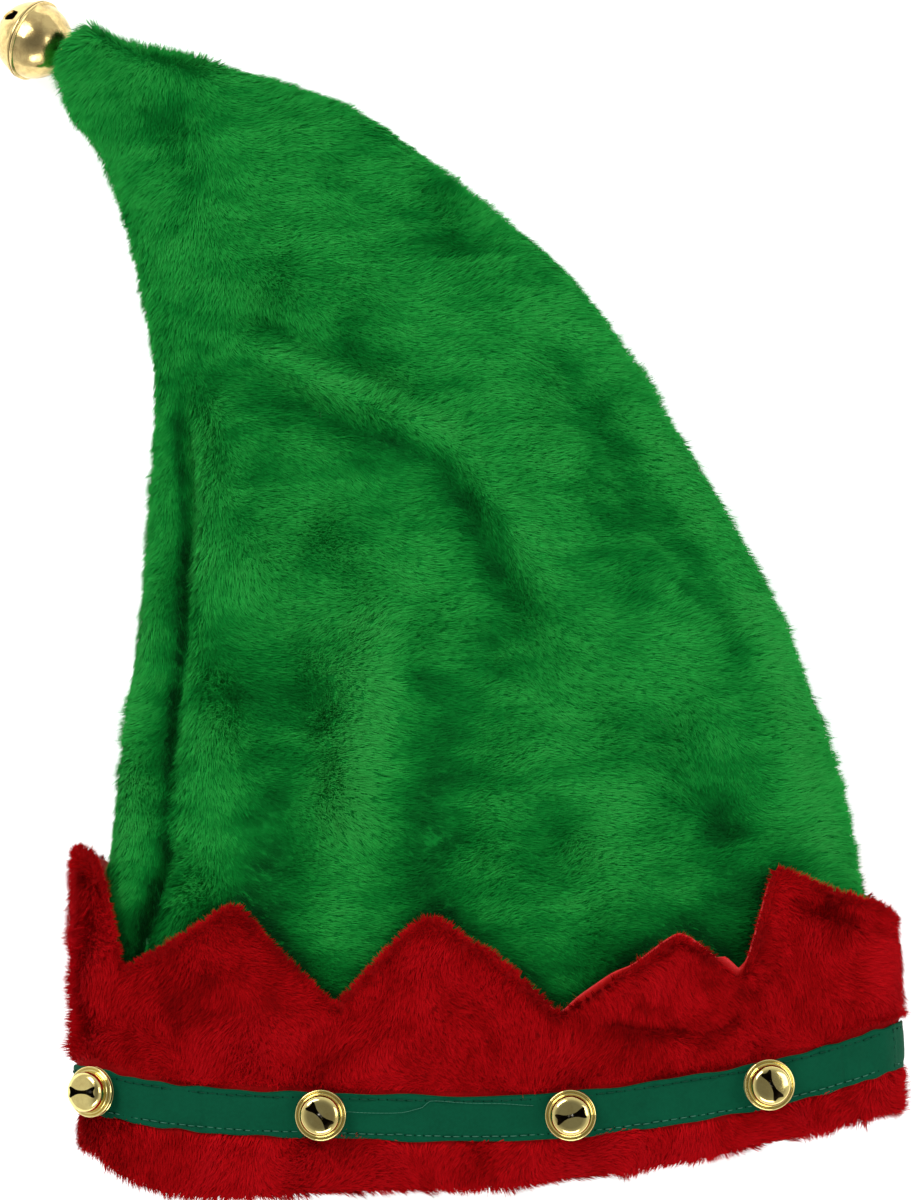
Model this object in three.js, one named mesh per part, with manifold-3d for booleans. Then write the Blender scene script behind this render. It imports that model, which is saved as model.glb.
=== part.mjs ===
// Elf hat lying on its back: a curved plush crown, a zigzag cuff with its lining, a ribbon and bells.
// Millimetres. +X is across the hat, +Y runs from the hem to the tip, +Z is away from the floor.
import * as THREE from 'three';
import { mergeVertices } from 'three/addons/utils/BufferGeometryUtils.js';
import Module from 'manifold-3d';

const wasm = await Module();
wasm.setup();

// Driving dimensions
const hatWidth = 295;
const hatLength = 412;
const puffHeight = 50;
const crownWall = 3;
const crownBack = 0.88;
const cuffHeight = 104;
const cuffWall = 3;
const cuffFlare = 7;
const hemDip = 20.5;
const hemRound = 3;
const liningWall = 1;
const pileRoom = 1.4;
const bandWidth = 16;
const bandWall = 1;
const seatGap = 0.3;

const bellRim = 18.5;
const bellDome = 14.8;
const bellFace = 13;
const bellDomeHeight = 5.4;
const bellRimHeight = 1.2;
const bellBackDepth = 2.2;
const bellSheet = 0.55;
const shankWidth = 4;
const shankHeight = 1;
const pelletSize = 3.6;
const slotLength = 11;
const slotLobe = 3.4;
const slotWaist = 1.3;

const tipBellSize = 28;
const tipBellSheet = 0.8;
const tipBellSeam = 1.6;
const tipShankWidth = 5;
const tipShankHeight = 1.2;
const tipPelletSize = 6;
const tipSlotLength = 30;
const tipSlotLobe = 4.6;
const tipSlotWaist = 1.6;

// Worked out from the sizes above
const bellHeight = shankHeight + bellBackDepth + seatGap + bellRimHeight + bellDomeHeight;
const cuffInside = liningWall + seatGap;
const bandInside = cuffInside + cuffWall + seatGap;
const bellSeat = bandInside + bandWall + seatGap;
const backLift = seatGap + bellSeat + bellHeight;

// Cross-sections of the crown from the hem to the tip. Left and right are the ends of each section:
// x is a share of hatWidth from the middle, y a share of hatLength from the lowest hem. thick is a share
// of puffHeight. onBells is the rise of the back as a share of backLift, onTip of tipBellSize.
const sections = [
  { leftX: -0.478, leftY: 0.044, rightX: 0.485, rightY: 0.072, thick: 0.94, onBells: 1.18, onTip: 0 },
  { leftX: -0.470, leftY: 0.179, rightX: 0.461, rightY: 0.207, thick: 0.98, onBells: 0.95, onTip: 0 },
  { leftX: -0.453, leftY: 0.314, rightX: 0.428, rightY: 0.342, thick: 1.02, onBells: 0.4, onTip: 0 },
  { leftX: -0.431, leftY: 0.437, rightX: 0.364, rightY: 0.481, thick: 1.0, onBells: 0.03, onTip: 0 },
  { leftX: -0.415, leftY: 0.533, rightX: 0.291, rightY: 0.584, thick: 0.96, onBells: 0, onTip: 0 },
  { leftX: -0.405, leftY: 0.629, rightX: 0.203, rightY: 0.687, thick: 0.9, onBells: 0, onTip: 0 },
  { leftX: -0.404, leftY: 0.717, rightX: 0.103, rightY: 0.791, thick: 0.82, onBells: 0, onTip: 0 },
  { leftX: -0.421, leftY: 0.791, rightX: -0.005, rightY: 0.857, thick: 0.72, onBells: 0, onTip: 0 },
  { leftX: -0.441, leftY: 0.852, rightX: -0.152, rightY: 0.936, thick: 0.62, onBells: 0, onTip: 0 },
  { leftX: -0.467, leftY: 0.903, rightX: -0.300, rightY: 0.975, thick: 0.52, onBells: 0, onTip: 0.07 },
  { leftX: -0.504, leftY: 0.940, rightX: -0.430, rightY: 0.997, thick: 0.43, onBells: 0, onTip: 0.37 },
  { leftX: -0.516, leftY: 0.975, rightX: -0.471, rightY: 1.009, thick: 0.32, onBells: 0, onTip: 0.735 },
];
const crownTip = { x: -0.506, y: 1.004, onTip: 0.975 };
const cuffSection = (sections[1].leftY - sections[0].leftY) * hatLength;

// Folds and dents of the crown's front: a curve from one end over a bend to the other, with x as a share
// of hatWidth and y of hatLength. wide is a share of hatWidth, rise of puffHeight, negative for a valley.
const folds = [
  { from: [-0.362, 0.734], bend: [-0.371, 0.551], to: [-0.411, 0.25], wide: 0.03, rise: -0.12 },
  { from: [-0.32, 0.774], bend: [-0.228, 0.734], to: [-0.094, 0.692], wide: 0.03, rise: -0.08 },
  { from: [-0.301, 0.743], bend: [-0.106, 0.682], to: [0.089, 0.507], wide: 0.035, rise: 0.08 },
  { from: [-0.344, 0.721], bend: [-0.082, 0.664], to: [0.065, 0.481], wide: 0.035, rise: -0.11 },
  { from: [0.052, 0.778], bend: [0.187, 0.621], to: [0.321, 0.446], wide: 0.04, rise: -0.1 },
  { from: [-0.112, 0.83], bend: [-0.039, 0.817], to: [0.028, 0.835], wide: 0.03, rise: -0.07 },
  { from: [-0.137, 0.516], bend: [-0.155, 0.393], to: [-0.191, 0.28], wide: 0.05, rise: 0.12 },
  { from: [-0.307, 0.494], bend: [-0.228, 0.459], to: [-0.204, 0.393], wide: 0.045, rise: -0.11 },
  { from: [-0.015, 0.498], bend: [-0.021, 0.393], to: [-0.082, 0.288], wide: 0.045, rise: -0.1 },
  { from: [0.205, 0.428], bend: [0.26, 0.35], to: [0.29, 0.288], wide: 0.04, rise: -0.09 },
  { from: [0.065, 0.341], bend: [0.083, 0.306], to: [0.101, 0.271], wide: 0.045, rise: -0.08 },
  { from: [-0.289, 0.332], bend: [-0.271, 0.306], to: [-0.24, 0.271], wide: 0.04, rise: -0.09 },
  { from: [-0.417, 0.957], bend: [-0.393, 0.94], to: [-0.374, 0.918], wide: 0.025, rise: -0.05 },
];

// Top edge of the cuff round the hat. turn is in degrees: 0 is the right side, 90 the front, 180 the
// left side and 270 the back. height is a share of cuffHeight, stand of cuffFlare. bend is in degrees.
const cuffEdge = [
  { turn: 0, height: 0.62, stand: 1.0, bend: 0 },
  { turn: 27, height: 0.75, stand: 0.85, bend: 0 },
  { turn: 43.5, height: 0.89, stand: 0.6, bend: 0 },
  { turn: 53.4, height: 0.55, stand: 0.5, bend: 20 },
  { turn: 64, height: 0.8, stand: 0.6, bend: 60 },
  { turn: 82.3, height: 0.545, stand: 0.2, bend: 20 },
  { turn: 94.3, height: 0.93, stand: 0.15, bend: 0 },
  { turn: 107.5, height: 0.607, stand: 0.1, bend: 0 },
  { turn: 126, height: 0.97, stand: 0.15, bend: 0 },
  { turn: 156.5, height: 0.65, stand: 0.4, bend: 0 },
  { turn: 168, height: 0.98, stand: 1.05, bend: 0 },
  { turn: 198, height: 0.97, stand: 1.1, bend: 0 },
  { turn: 225, height: 0.63, stand: 0.2, bend: 0 },
  { turn: 248, height: 0.94, stand: 0.1, bend: 0 },
  { turn: 264, height: 0.63, stand: 0.1, bend: 0 },
  { turn: 275, height: 0.94, stand: 0.1, bend: 0 },
  { turn: 292, height: 0.63, stand: 0.1, bend: 0 },
  { turn: 315, height: 0.94, stand: 0.2, bend: 0 },
  { turn: 360, height: 0.62, stand: 1.0, bend: 0 },
];

// Middle of the ribbon above the hem, as a share of cuffHeight
const bandPath = [
  { turn: 0, up: 0.215 },
  { turn: 35, up: 0.188 },
  { turn: 50, up: 0.186 },
  { turn: 82, up: 0.207 },
  { turn: 108, up: 0.254 },
  { turn: 136, up: 0.285 },
  { turn: 150, up: 0.264 },
  { turn: 180, up: 0.165 },
  { turn: 270, up: 0.2 },
  { turn: 360, up: 0.215 },
];

// Bells sewn on the ribbon. The slot's direction is in degrees from +X as seen from the front.
// The last three are spread evenly round the back between the bells at the two sides.
const bells = [
  { turn: 163, slot: 0 },
  { turn: 109.8, slot: -45 },
  { turn: 81.8, slot: 15 },
  { turn: 49.8, slot: -62 },
  { backShare: 0.25, slot: 20 },
  { backShare: 0.5, slot: -35 },
  { backShare: 0.75, slot: 60 },
];
const tipBellAxis = new THREE.Vector3(-0.8, 0.33, -0.5).normalize();
const tipSlotSide = new THREE.Vector3(-0.2, 0.5, 0.8);

// Forms: how square the sections and the two ends of the hem are, how much less the back of the hem dips,
// and the share of a peak's height at which its bend starts
const squareness = 0.8;
const leftHemSquare = 9;
const rightHemSquare = 1.6;
const backHemShare = 0.4;
const bendStart = 0.66;

// Fineness of the faces: longest steps round the hem, rows along the crown and sides of the bells
const frontStep = 17;
const backStep = 30;
const sectionRows = 28;
const bellSides = 12;
const tipBellSides = 16;

const radians = THREE.MathUtils.degToRad;
const clamp = THREE.MathUtils.clamp;
const smooth = THREE.MathUtils.smoothstep;

// Smooth curve through one column of an evenly spaced table
function column(rows, name, place) {
  const low = clamp(Math.floor(place), 0, rows.length - 2);
  const share = place - low;
  const start = rows[low][name];
  const end = rows[low + 1][name];
  const before = low > 0 ? rows[low - 1][name] : 2 * start - end;
  const after = low + 2 < rows.length ? rows[low + 2][name] : 2 * end - start;
  const startSlope = (end - before) / 2;
  const endSlope = (after - start) / 2;
  const bow = 2 * (start - end) + startSlope + endSlope;
  const lean = 3 * (end - start) - 2 * startSlope - endSlope;
  return ((bow * share + lean) * share + startSlope) * share + start;
}

// Straight stretches between the rows of a table with a turn column
function aroundTable(rows, name, turn) {
  const degrees = ((THREE.MathUtils.radToDeg(turn) % 360) + 360) % 360;
  const next = rows.findIndex((row) => row.turn > degrees);
  const from = rows[next - 1];
  const to = rows[next];
  return from[name] + ((to[name] - from[name]) * (degrees - from.turn)) / (to.turn - from.turn);
}

// Crown surface without its folds. place counts sections from the hem, turn goes round the hat.
function crownPoint(place, turn) {
  const last = sections.length - 1;
  const inside = Math.min(place, last);
  const read = (name) => column(sections, name, inside);
  const left = new THREE.Vector3(read('leftX') * hatWidth, read('leftY') * hatLength, 0);
  const right = new THREE.Vector3(read('rightX') * hatWidth, read('rightY') * hatLength, 0);
  const half = right.clone().sub(left).divideScalar(2);
  const rise = (read('thick') * puffHeight) / 2;
  const lift = Math.max(0, read('onBells')) * backLift + Math.max(0, read('onTip')) * tipBellSize;
  const middle = left.add(right).divideScalar(2).setZ(lift + rise);
  const across = Math.sign(Math.cos(turn)) * Math.abs(Math.cos(turn)) ** squareness;
  const up = Math.sign(Math.sin(turn)) * Math.abs(Math.sin(turn)) ** squareness;
  const height = up < 0 ? Math.max(up / crownBack, -1) : up;
  let size = 1;
  if (place > last) {
    const share = place - last;
    size = Math.sqrt(Math.max(0, 1 - share * share));
    const { x, y, onTip } = crownTip;
    middle.lerp(new THREE.Vector3(x * hatWidth, y * hatLength, onTip * tipBellSize), share);
  }
  const square = across < 0 ? leftHemSquare : rightHemSquare;
  const hemShare = (up < 0 ? backHemShare : 1) * (1 - smooth(place, 1.5, 4));
  const dip = hemDip * hemShare * (1 - Math.abs(across) ** square);
  const point = middle.addScaledVector(half, across * size);
  point.y -= dip;
  point.z += rise * height * size;
  return point;
}

// Unit normal that points away from the inside, from small steps in both directions of a surface
function normalOf(surface, place, turn, placeStep) {
  const turnStep = radians(1.5);
  const along = surface(place + placeStep, turn).sub(surface(place - placeStep, turn));
  const round = surface(place, turn + turnStep).sub(surface(place, turn - turnStep));
  return along.cross(round).normalize();
}

// How far the folds push the crown's front out at a point
function foldRise(point) {
  let total = 0;
  for (const fold of folds) {
    const ends = [fold.from, fold.bend, fold.to];
    const curve = new THREE.QuadraticBezierCurve(
      ...ends.map(([x, y]) => new THREE.Vector2(x * hatWidth, y * hatLength)),
    );
    const steps = 16;
    let nearest = Infinity;
    let share = 0;
    curve.getPoints(steps).forEach((step, i) => {
      const distance = step.distanceTo(new THREE.Vector2(point.x, point.y));
      if (distance < nearest) {
        nearest = distance;
        share = i / steps;
      }
    });
    const fade = smooth(share, -0.1, 0.25) * (1 - smooth(share, 0.75, 1.1));
    const clearOfCuff = fold.rise > 0 ? smooth(point.y, cuffHeight, cuffHeight * 1.5) : 1;
    const wide = fold.wide * hatWidth;
    total += fold.rise * puffHeight * fade * clearOfCuff * Math.exp(-((nearest / wide) ** 2));
  }
  return total;
}

function foldedCrownPoint(place, turn) {
  const point = crownPoint(place, turn);
  const front = smooth(Math.sin(turn), 0.05, 0.45);
  if (front > 0) {
    point.addScaledVector(normalOf(crownPoint, place, turn, 0.05), foldRise(point) * front);
  }
  return point;
}

// Side of the cuff that faces the crown. up is the height above the hem.
function cuffBase(up, turn) {
  const top = aroundTable(cuffEdge, 'height', turn) * cuffHeight;
  const bend = radians(aroundTable(cuffEdge, 'bend', turn));
  const bendFrom = top * bendStart;
  const past = Math.max(0, up - bendFrom);
  const angle = (bend * past) / (top - bendFrom);
  const sure = Math.max(angle, 0.001);
  const along = up - past + (past * Math.sin(sure)) / sure;
  const curl = (past * (1 - Math.cos(sure))) / sure;
  const flare = aroundTable(cuffEdge, 'stand', turn) * cuffFlare * Math.max(0, up / top) ** 1.3;
  const off = seatGap + pileRoom * smooth(up, 0, cuffHeight * 0.2) + flare + curl;
  const place = along / cuffSection;
  return crownPoint(place, turn).addScaledVector(normalOf(crownPoint, place, turn, 0.05), off);
}

function cuffPoint(up, turn, outward) {
  return cuffBase(up, turn).addScaledVector(normalOf(cuffBase, up, turn, 1.5), outward);
}

const bandUp = (turn) => aroundTable(bandPath, 'up', turn) * cuffHeight;
const edgeUp = (turn) => aroundTable(cuffEdge, 'height', turn) * cuffHeight;

// Columns round the hat: one at each point of the cuff's edge, and evenly spaced ones between
const turns = [];
for (let i = 0; i + 1 < cuffEdge.length; i += 1) {
  const from = radians(cuffEdge[i].turn);
  const to = radians(cuffEdge[i + 1].turn);
  const length = crownPoint(0, from).distanceTo(crownPoint(0, to));
  const count = Math.ceil(length / (Math.sin((from + to) / 2) > 0 ? frontStep : backStep));
  for (let k = 0; k < count; k += 1) {
    turns.push(from + ((to - from) * k) / count);
  }
}

function solidFrom(points, faces) {
  const geometry = new THREE.BufferGeometry();
  geometry.setAttribute('position', new THREE.Float32BufferAttribute(points.flatMap((p) => p.toArray()), 3));
  geometry.setIndex(faces.flat());
  geometry.computeVertexNormals();
  return geometry;
}

// Closed wall between an outer and an inner stack of rings. A tip point closes the last ring.
function wallBetween(outer, inner, outerTip, innerTip) {
  const columns = outer[0].length;
  const points = [...outer.flat(), ...inner.flat()];
  const faces = [];
  const quad = (a, b, c, d) => {
    if (points[a].distanceTo(points[c]) < points[b].distanceTo(points[d])) {
      faces.push([a, c, b], [a, d, c]);
    } else {
      faces.push([a, d, b], [b, d, c]);
    }
  };
  const innerStart = outer.length * columns;
  for (let i = 0; i < columns; i += 1) {
    const next = (i + 1) % columns;
    for (let row = 0; row + 1 < outer.length; row += 1) {
      const low = row * columns;
      const high = low + columns;
      quad(low + i, low + next, high + next, high + i);
    }
    for (let row = 0; row + 1 < inner.length; row += 1) {
      const low = innerStart + row * columns;
      const high = low + columns;
      quad(low + next, low + i, high + i, high + next);
    }
    quad(innerStart + i, innerStart + next, next, i);
    const outerLast = (outer.length - 1) * columns;
    const innerLast = innerStart + (inner.length - 1) * columns;
    if (outerTip) {
      faces.push([outerLast + next, outerLast + i, points.length]);
      faces.push([innerLast + i, innerLast + next, points.length + 1]);
    } else {
      quad(outerLast + i, outerLast + next, innerLast + next, innerLast + i);
    }
  }
  if (outerTip) {
    points.push(outerTip, innerTip);
  }
  return solidFrom(points, faces);
}

// Rings moved inward by a wall, along normals averaged from the rings' own faces
function movedInward(rings, tip, wall) {
  const columns = rings[0].length;
  const points = [...rings.flat(), tip];
  const faces = [];
  for (let row = 0; row < rings.length; row += 1) {
    for (let i = 0; i < columns; i += 1) {
      const next = (i + 1) % columns;
      const low = row * columns;
      if (row + 1 < rings.length) {
        const high = low + columns;
        faces.push([low + i, high + next, low + next], [low + i, high + i, high + next]);
      } else {
        faces.push([low + next, low + i, points.length - 1]);
      }
    }
  }
  const normals = solidFrom(points, faces).getAttribute('normal');
  const moved = points.map((point, i) => {
    const normal = new THREE.Vector3().fromBufferAttribute(normals, i);
    return point.clone().addScaledVector(normal, -wall);
  });
  const movedRings = rings.map((ring, row) => moved.slice(row * columns, (row + 1) * columns));
  return { rings: movedRings, tip: moved.at(-1) };
}

function crownGeometry() {
  const last = sections.length - 1;
  const places = [];
  for (let row = 0; row <= sectionRows; row += 1) {
    places.push((last * row) / sectionRows);
  }
  places.push(last + 0.5, last + 0.85);
  const outer = places.map((place) => turns.map((turn) => foldedCrownPoint(place, turn)));
  const tip = crownPoint(last + 1, 0);
  const inner = movedInward(outer, tip, crownWall);
  return wallBetween(outer, inner.rings, tip, inner.tip);
}

// Heights of the cuff's rows above the hem: two beside the ribbon, then three up to the edge
function cuffRows(turn) {
  const band = bandUp(turn);
  const above = band + bandWidth / 2;
  const rest = edgeUp(turn) - above;
  return [hemRound, band - bandWidth / 2, above, above + rest * 0.35, above + rest * 0.7, above + rest];
}

function ringsOfCuff(outward, hemOutward) {
  const count = cuffRows(0).length;
  const hem = turns.map((turn) => cuffPoint(0, turn, hemOutward));
  const rings = [hem];
  for (let row = 0; row < count; row += 1) {
    rings.push(turns.map((turn) => cuffPoint(cuffRows(turn)[row], turn, outward)));
  }
  return rings;
}

function cuffGeometry() {
  const outside = cuffInside + cuffWall;
  const outer = ringsOfCuff(outside, outside - cuffWall / 2);
  return wallBetween(outer, ringsOfCuff(cuffInside, cuffInside));
}

function liningGeometry() {
  return wallBetween(ringsOfCuff(liningWall, liningWall), ringsOfCuff(0, 0));
}

function bandGeometry() {
  const ring = (side, outward) =>
    turns.map((turn) => cuffPoint(bandUp(turn) + (side * bandWidth) / 2, turn, outward));
  const outward = bandInside + bandWall;
  return wallBetween([ring(-1, outward), ring(1, outward)], [ring(-1, bandInside), ring(1, bandInside)]);
}

function toManifold(geometry) {
  const bare = geometry.clone();
  bare.deleteAttribute('normal');
  bare.deleteAttribute('uv');
  const merged = mergeVertices(bare, 1e-4);
  const triVerts = new Uint32Array(merged.index.array);
  const vertProperties = new Float32Array(merged.attributes.position.array);
  return new wasm.Manifold(new wasm.Mesh({ numProp: 3, vertProperties, triVerts }));
}

function toGeometry(manifold) {
  const mesh = manifold.getMesh();
  const geometry = new THREE.BufferGeometry();
  geometry.setAttribute('position', new THREE.Float32BufferAttribute(mesh.vertProperties, 3));
  geometry.setIndex(new THREE.Uint32BufferAttribute(mesh.triVerts, 1));
  return geometry;
}

// Solid of revolution round Z from a profile of radius and height that starts and ends on the axis
function turned(profile, sides) {
  const points = profile.map(([radius, height]) => new THREE.Vector2(radius, height));
  return new THREE.LatheGeometry(points, sides).rotateX(Math.PI / 2);
}

// Dog-bone slot through a bell: a narrow bar with a round lobe at each end
function slotCutter(length, lobe, waist, low, high) {
  const shape = new THREE.Shape();
  const reach = (length - lobe) / 2;
  const radius = lobe / 2;
  const opening = Math.asin(waist / lobe);
  shape.absarc(reach, 0, radius, Math.PI + opening, Math.PI * 3 - opening, false);
  shape.absarc(-reach, 0, radius, opening, Math.PI * 2 - opening, false);
  shape.closePath();
  const settings = { depth: high - low, bevelEnabled: false, curveSegments: 4 };
  return new THREE.ExtrudeGeometry(shape, settings).translate(0, 0, low);
}

function sewnBellFront() {
  const rimLow = shankHeight + bellBackDepth + seatGap;
  const rimTop = rimLow + bellRimHeight;
  const top = rimTop + bellDomeHeight;
  const profile = [
    [0, top],
    [bellFace / 2, top - bellSheet / 2],
    [bellDome / 2, top - bellDomeHeight * 0.4],
    [bellDome / 2, rimLow + bellSheet],
    [bellRim / 2 - bellSheet, rimTop],
    [bellRim / 2, rimLow + bellRimHeight / 2],
    [bellRim / 2 - bellSheet, rimLow],
    [bellDome / 2 - bellSheet, rimLow],
    [bellDome / 2 - bellSheet, top - bellDomeHeight * 0.45],
    [bellFace / 2 - bellSheet, top - bellSheet * 1.6],
    [0, top - bellSheet],
  ];
  const shell = toManifold(turned(profile.reverse(), bellSides));
  const cutter = toManifold(slotCutter(slotLength, slotLobe, slotWaist, rimTop + 1, top + 1));
  return toGeometry(shell.subtract(cutter));
}

function sewnBellBack() {
  const rimTop = shankHeight + bellBackDepth;
  const cup = bellDome / 2;
  const profile = [
    [0, 0],
    [shankWidth / 2, 0],
    [shankWidth / 2, shankHeight],
    [cup * 0.75, shankHeight + bellBackDepth * 0.2],
    [bellRim / 2 - bellSheet, rimTop],
    [cup - bellSheet, rimTop],
    [cup * 0.68, shankHeight + bellBackDepth * 0.2 + bellSheet],
    [0, shankHeight + bellSheet],
  ];
  return turned(profile, bellSides);
}

function pelletGeometry(size) {
  return new THREE.IcosahedronGeometry(size / 2, 1);
}

// Half of the tip bell, a sphere shell cut at its seam and a little open at the seam for the other half
function tipBellHalf(direction) {
  const outer = tipBellSize / 2;
  const inner = outer - tipBellSheet;
  const low = seatGap / 2;
  const steps = 5;
  const arc = (radius, from, to) => {
    const points = [];
    for (let i = 0; i <= steps; i += 1) {
      const angle = from + ((to - from) * i) / steps;
      points.push([radius * Math.cos(angle), radius * Math.sin(angle)]);
    }
    return points;
  };
  const profile = [
    ...arc(inner, Math.PI / 2, Math.asin(low / inner)),
    [outer + tipBellSeam / 2, low],
    [outer + tipBellSeam / 2, low + tipBellSeam / 2],
    ...arc(outer, Math.asin((low + tipBellSeam) / outer), Math.PI / 2),
  ];
  profile[0][0] = 0;
  profile[profile.length - 1][0] = 0;
  const half = turned(profile, tipBellSides);
  return direction > 0 ? half : half.rotateX(Math.PI);
}

function tipBellFront() {
  const high = tipBellSize;
  const cutter = slotCutter(tipSlotLength, tipSlotLobe, tipSlotWaist, tipBellSize * 0.1, high);
  return toGeometry(toManifold(tipBellHalf(1)).subtract(toManifold(cutter)));
}

function tipBellBack() {
  const outer = tipBellSize / 2;
  const reach = outer + tipShankHeight;
  const shank = turned(
    [
      [0, -reach],
      [tipShankWidth / 2, -reach],
      [tipShankWidth / 2, tipBellSheet / 2 - outer],
      [0, tipBellSheet / 2 - outer],
    ],
    10,
  );
  return toGeometry(toManifold(tipBellHalf(-1)).add(toManifold(shank)));
}

// Materials, one for each sub-part
const plush = (color) => () => new THREE.MeshStandardMaterial({ color, roughness: 0.95, metalness: 0 });
const green = plush(0x1f8f2c);
const red = plush(0xb00d18);
const satin = () => new THREE.MeshStandardMaterial({ color: 0xc8202a, roughness: 0.45, metalness: 0 });
const ribbon = () => new THREE.MeshStandardMaterial({ color: 0x10553c, roughness: 0.6, metalness: 0 });
const brass = () => new THREE.MeshStandardMaterial({ color: 0xcdb35a, roughness: 0.2, metalness: 1 });
const steel = () => new THREE.MeshStandardMaterial({ color: 0x8d8f92, roughness: 0.4, metalness: 1 });

function piece(name, geometry, material) {
  const mesh = new THREE.Mesh(geometry, material());
  mesh.name = name;
  return mesh;
}

// Turns of the bells: the seen ones as listed, the others by equal lengths of ribbon round the back
function bellTurns() {
  const from = radians(bells[0].turn);
  const to = radians(bells[3].turn) + Math.PI * 2;
  const steps = 200;
  const lengths = [0];
  let last = cuffPoint(bandUp(from), from, bellSeat);
  for (let i = 1; i <= steps; i += 1) {
    const turn = from + ((to - from) * i) / steps;
    const here = cuffPoint(bandUp(turn), turn, bellSeat);
    lengths.push(lengths[i - 1] + here.distanceTo(last));
    last = here;
  }
  return bells.map((bell) => {
    if (bell.turn !== undefined) {
      return radians(bell.turn);
    }
    const reached = lengths.findIndex((length) => length >= lengths[steps] * bell.backShare);
    return from + ((to - from) * reached) / steps;
  });
}

// A group whose +Z is the bell's axis and whose +X follows the slot
function placed(point, axis, side) {
  const group = new THREE.Group();
  const across = side.clone().addScaledVector(axis, -side.dot(axis)).normalize();
  const third = axis.clone().cross(across);
  group.matrix.makeBasis(across, third, axis).setPosition(point);
  group.matrix.decompose(group.position, group.quaternion, group.scale);
  return group;
}

// Place and axis of a bell on the ribbon's own flat faces, which run straight from column to column
function onRibbon(turn) {
  const later = turns.findIndex((angle) => angle > turn);
  const to = later < 0 ? Math.PI * 2 : turns[later];
  const from = turns.at(later < 0 ? -1 : later - 1);
  const start = cuffPoint(bandUp(from), from, bellSeat);
  const end = cuffPoint(bandUp(to), to, bellSeat);
  const along = cuffPoint(bandUp(from) + bandWidth / 2, from, bellSeat).sub(start);
  const axis = along.cross(end.clone().sub(start)).normalize();
  return { point: start.lerp(end, (turn - from) / (to - from)), axis };
}

function sewnBell(number, turn, slot) {
  const { point, axis } = onRibbon(turn);
  const side = new THREE.Vector3(Math.cos(radians(slot)), Math.sin(radians(slot)), 0);
  const group = placed(point, axis, side);
  const pellet = piece(`bell_${number}_pellet`, pelletGeometry(pelletSize), steel);
  const floor = shankHeight + bellBackDepth * 0.2 + bellSheet;
  pellet.position.set(0, 0, floor + seatGap + pelletSize / 2);
  group.add(
    piece(`bell_${number}_front`, sewnBellFront(), brass),
    piece(`bell_${number}_back`, sewnBellBack(), brass),
    pellet,
  );
  return group;
}

// The point of the crown's rounded tip that reaches furthest along the bell's axis
function tipSeat() {
  let seat = crownPoint(sections.length, 0);
  for (let place = sections.length - 2; place < sections.length; place += 0.05) {
    for (const turn of turns) {
      const point = crownPoint(place, turn);
      seat = point.dot(tipBellAxis) > seat.dot(tipBellAxis) ? point : seat;
    }
  }
  return seat;
}

function tipBell() {
  const reach = tipBellSize / 2 + tipShankHeight + seatGap;
  const point = tipSeat().addScaledVector(tipBellAxis, reach);
  const group = placed(point, tipBellAxis, tipSlotSide);
  const pellet = piece('tip_bell_pellet', pelletGeometry(tipPelletSize), steel);
  const low = tipBellSize / 2 - tipBellSheet - seatGap * 2 - tipPelletSize / 2;
  group.updateMatrixWorld(true);
  const down = new THREE.Vector3(0, 0, -1).transformDirection(group.matrixWorld.clone().invert());
  pellet.position.copy(down.multiplyScalar(low));
  group.add(
    piece('tip_bell_front', tipBellFront(), brass),
    piece('tip_bell_back', tipBellBack(), brass),
    pellet,
  );
  return group;
}

const hat = new THREE.Group();
hat.add(
  piece('crown', crownGeometry(), green),
  piece('cuff', cuffGeometry(), red),
  piece('cuff_lining', liningGeometry(), satin),
  piece('band', bandGeometry(), ribbon),
);
bellTurns().forEach((turn, i) => hat.add(sewnBell(i + 1, turn, bells[i].slot)));
hat.add(tipBell());

// The origin is the middle of the box's underside
hat.updateMatrixWorld(true);
const box = new THREE.Box3().setFromObject(hat, true);
hat.position.set(-(box.min.x + box.max.x) / 2, -(box.min.y + box.max.y) / 2, -box.min.z);

export default hat;
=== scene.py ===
# %% [markdown]
# # A plush elf hat with bells
#
# The hat lies on its back: a curved green plush crown, a red plush cuff with a zigzag edge and a
# satin lining, a teal ribbon sewn round the cuff, seven flat bells on the ribbon and a round bell at
# the tip. The first cell loads the fixed frame that the pieces are built on.

# %% Load the frame
import math

import bpy
import numpy as np
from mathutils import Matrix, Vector


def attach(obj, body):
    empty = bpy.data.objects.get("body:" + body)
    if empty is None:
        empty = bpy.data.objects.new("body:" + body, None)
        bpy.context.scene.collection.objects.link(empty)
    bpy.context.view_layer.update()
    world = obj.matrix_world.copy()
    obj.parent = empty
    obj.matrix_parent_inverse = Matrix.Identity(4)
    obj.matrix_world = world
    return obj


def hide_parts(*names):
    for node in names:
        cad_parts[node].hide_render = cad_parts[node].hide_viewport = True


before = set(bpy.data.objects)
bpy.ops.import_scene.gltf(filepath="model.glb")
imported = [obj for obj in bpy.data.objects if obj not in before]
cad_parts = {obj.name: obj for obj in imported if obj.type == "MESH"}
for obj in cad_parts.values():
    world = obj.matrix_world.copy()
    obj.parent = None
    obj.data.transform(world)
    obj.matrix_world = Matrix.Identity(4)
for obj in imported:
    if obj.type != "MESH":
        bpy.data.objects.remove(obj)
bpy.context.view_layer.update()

# %% [markdown]
# ## Camera, floor and light
#
# The photograph looks straight down on the hat, from far enough away that its outline hardly
# changes with height. A long lens above the middle does the same. The floor is a plain pale sheet,
# and the light comes from large soft boxes at a slant, so that the folds of the plush show without
# hard shadows and the brass has something bright and something dark to mirror.

# %% Camera
def in_scene(name, data):
    """A new object in the scene with a mesh, lamp or camera."""
    item = bpy.data.objects.new(name, data)
    bpy.context.scene.collection.objects.link(item)
    return item


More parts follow.
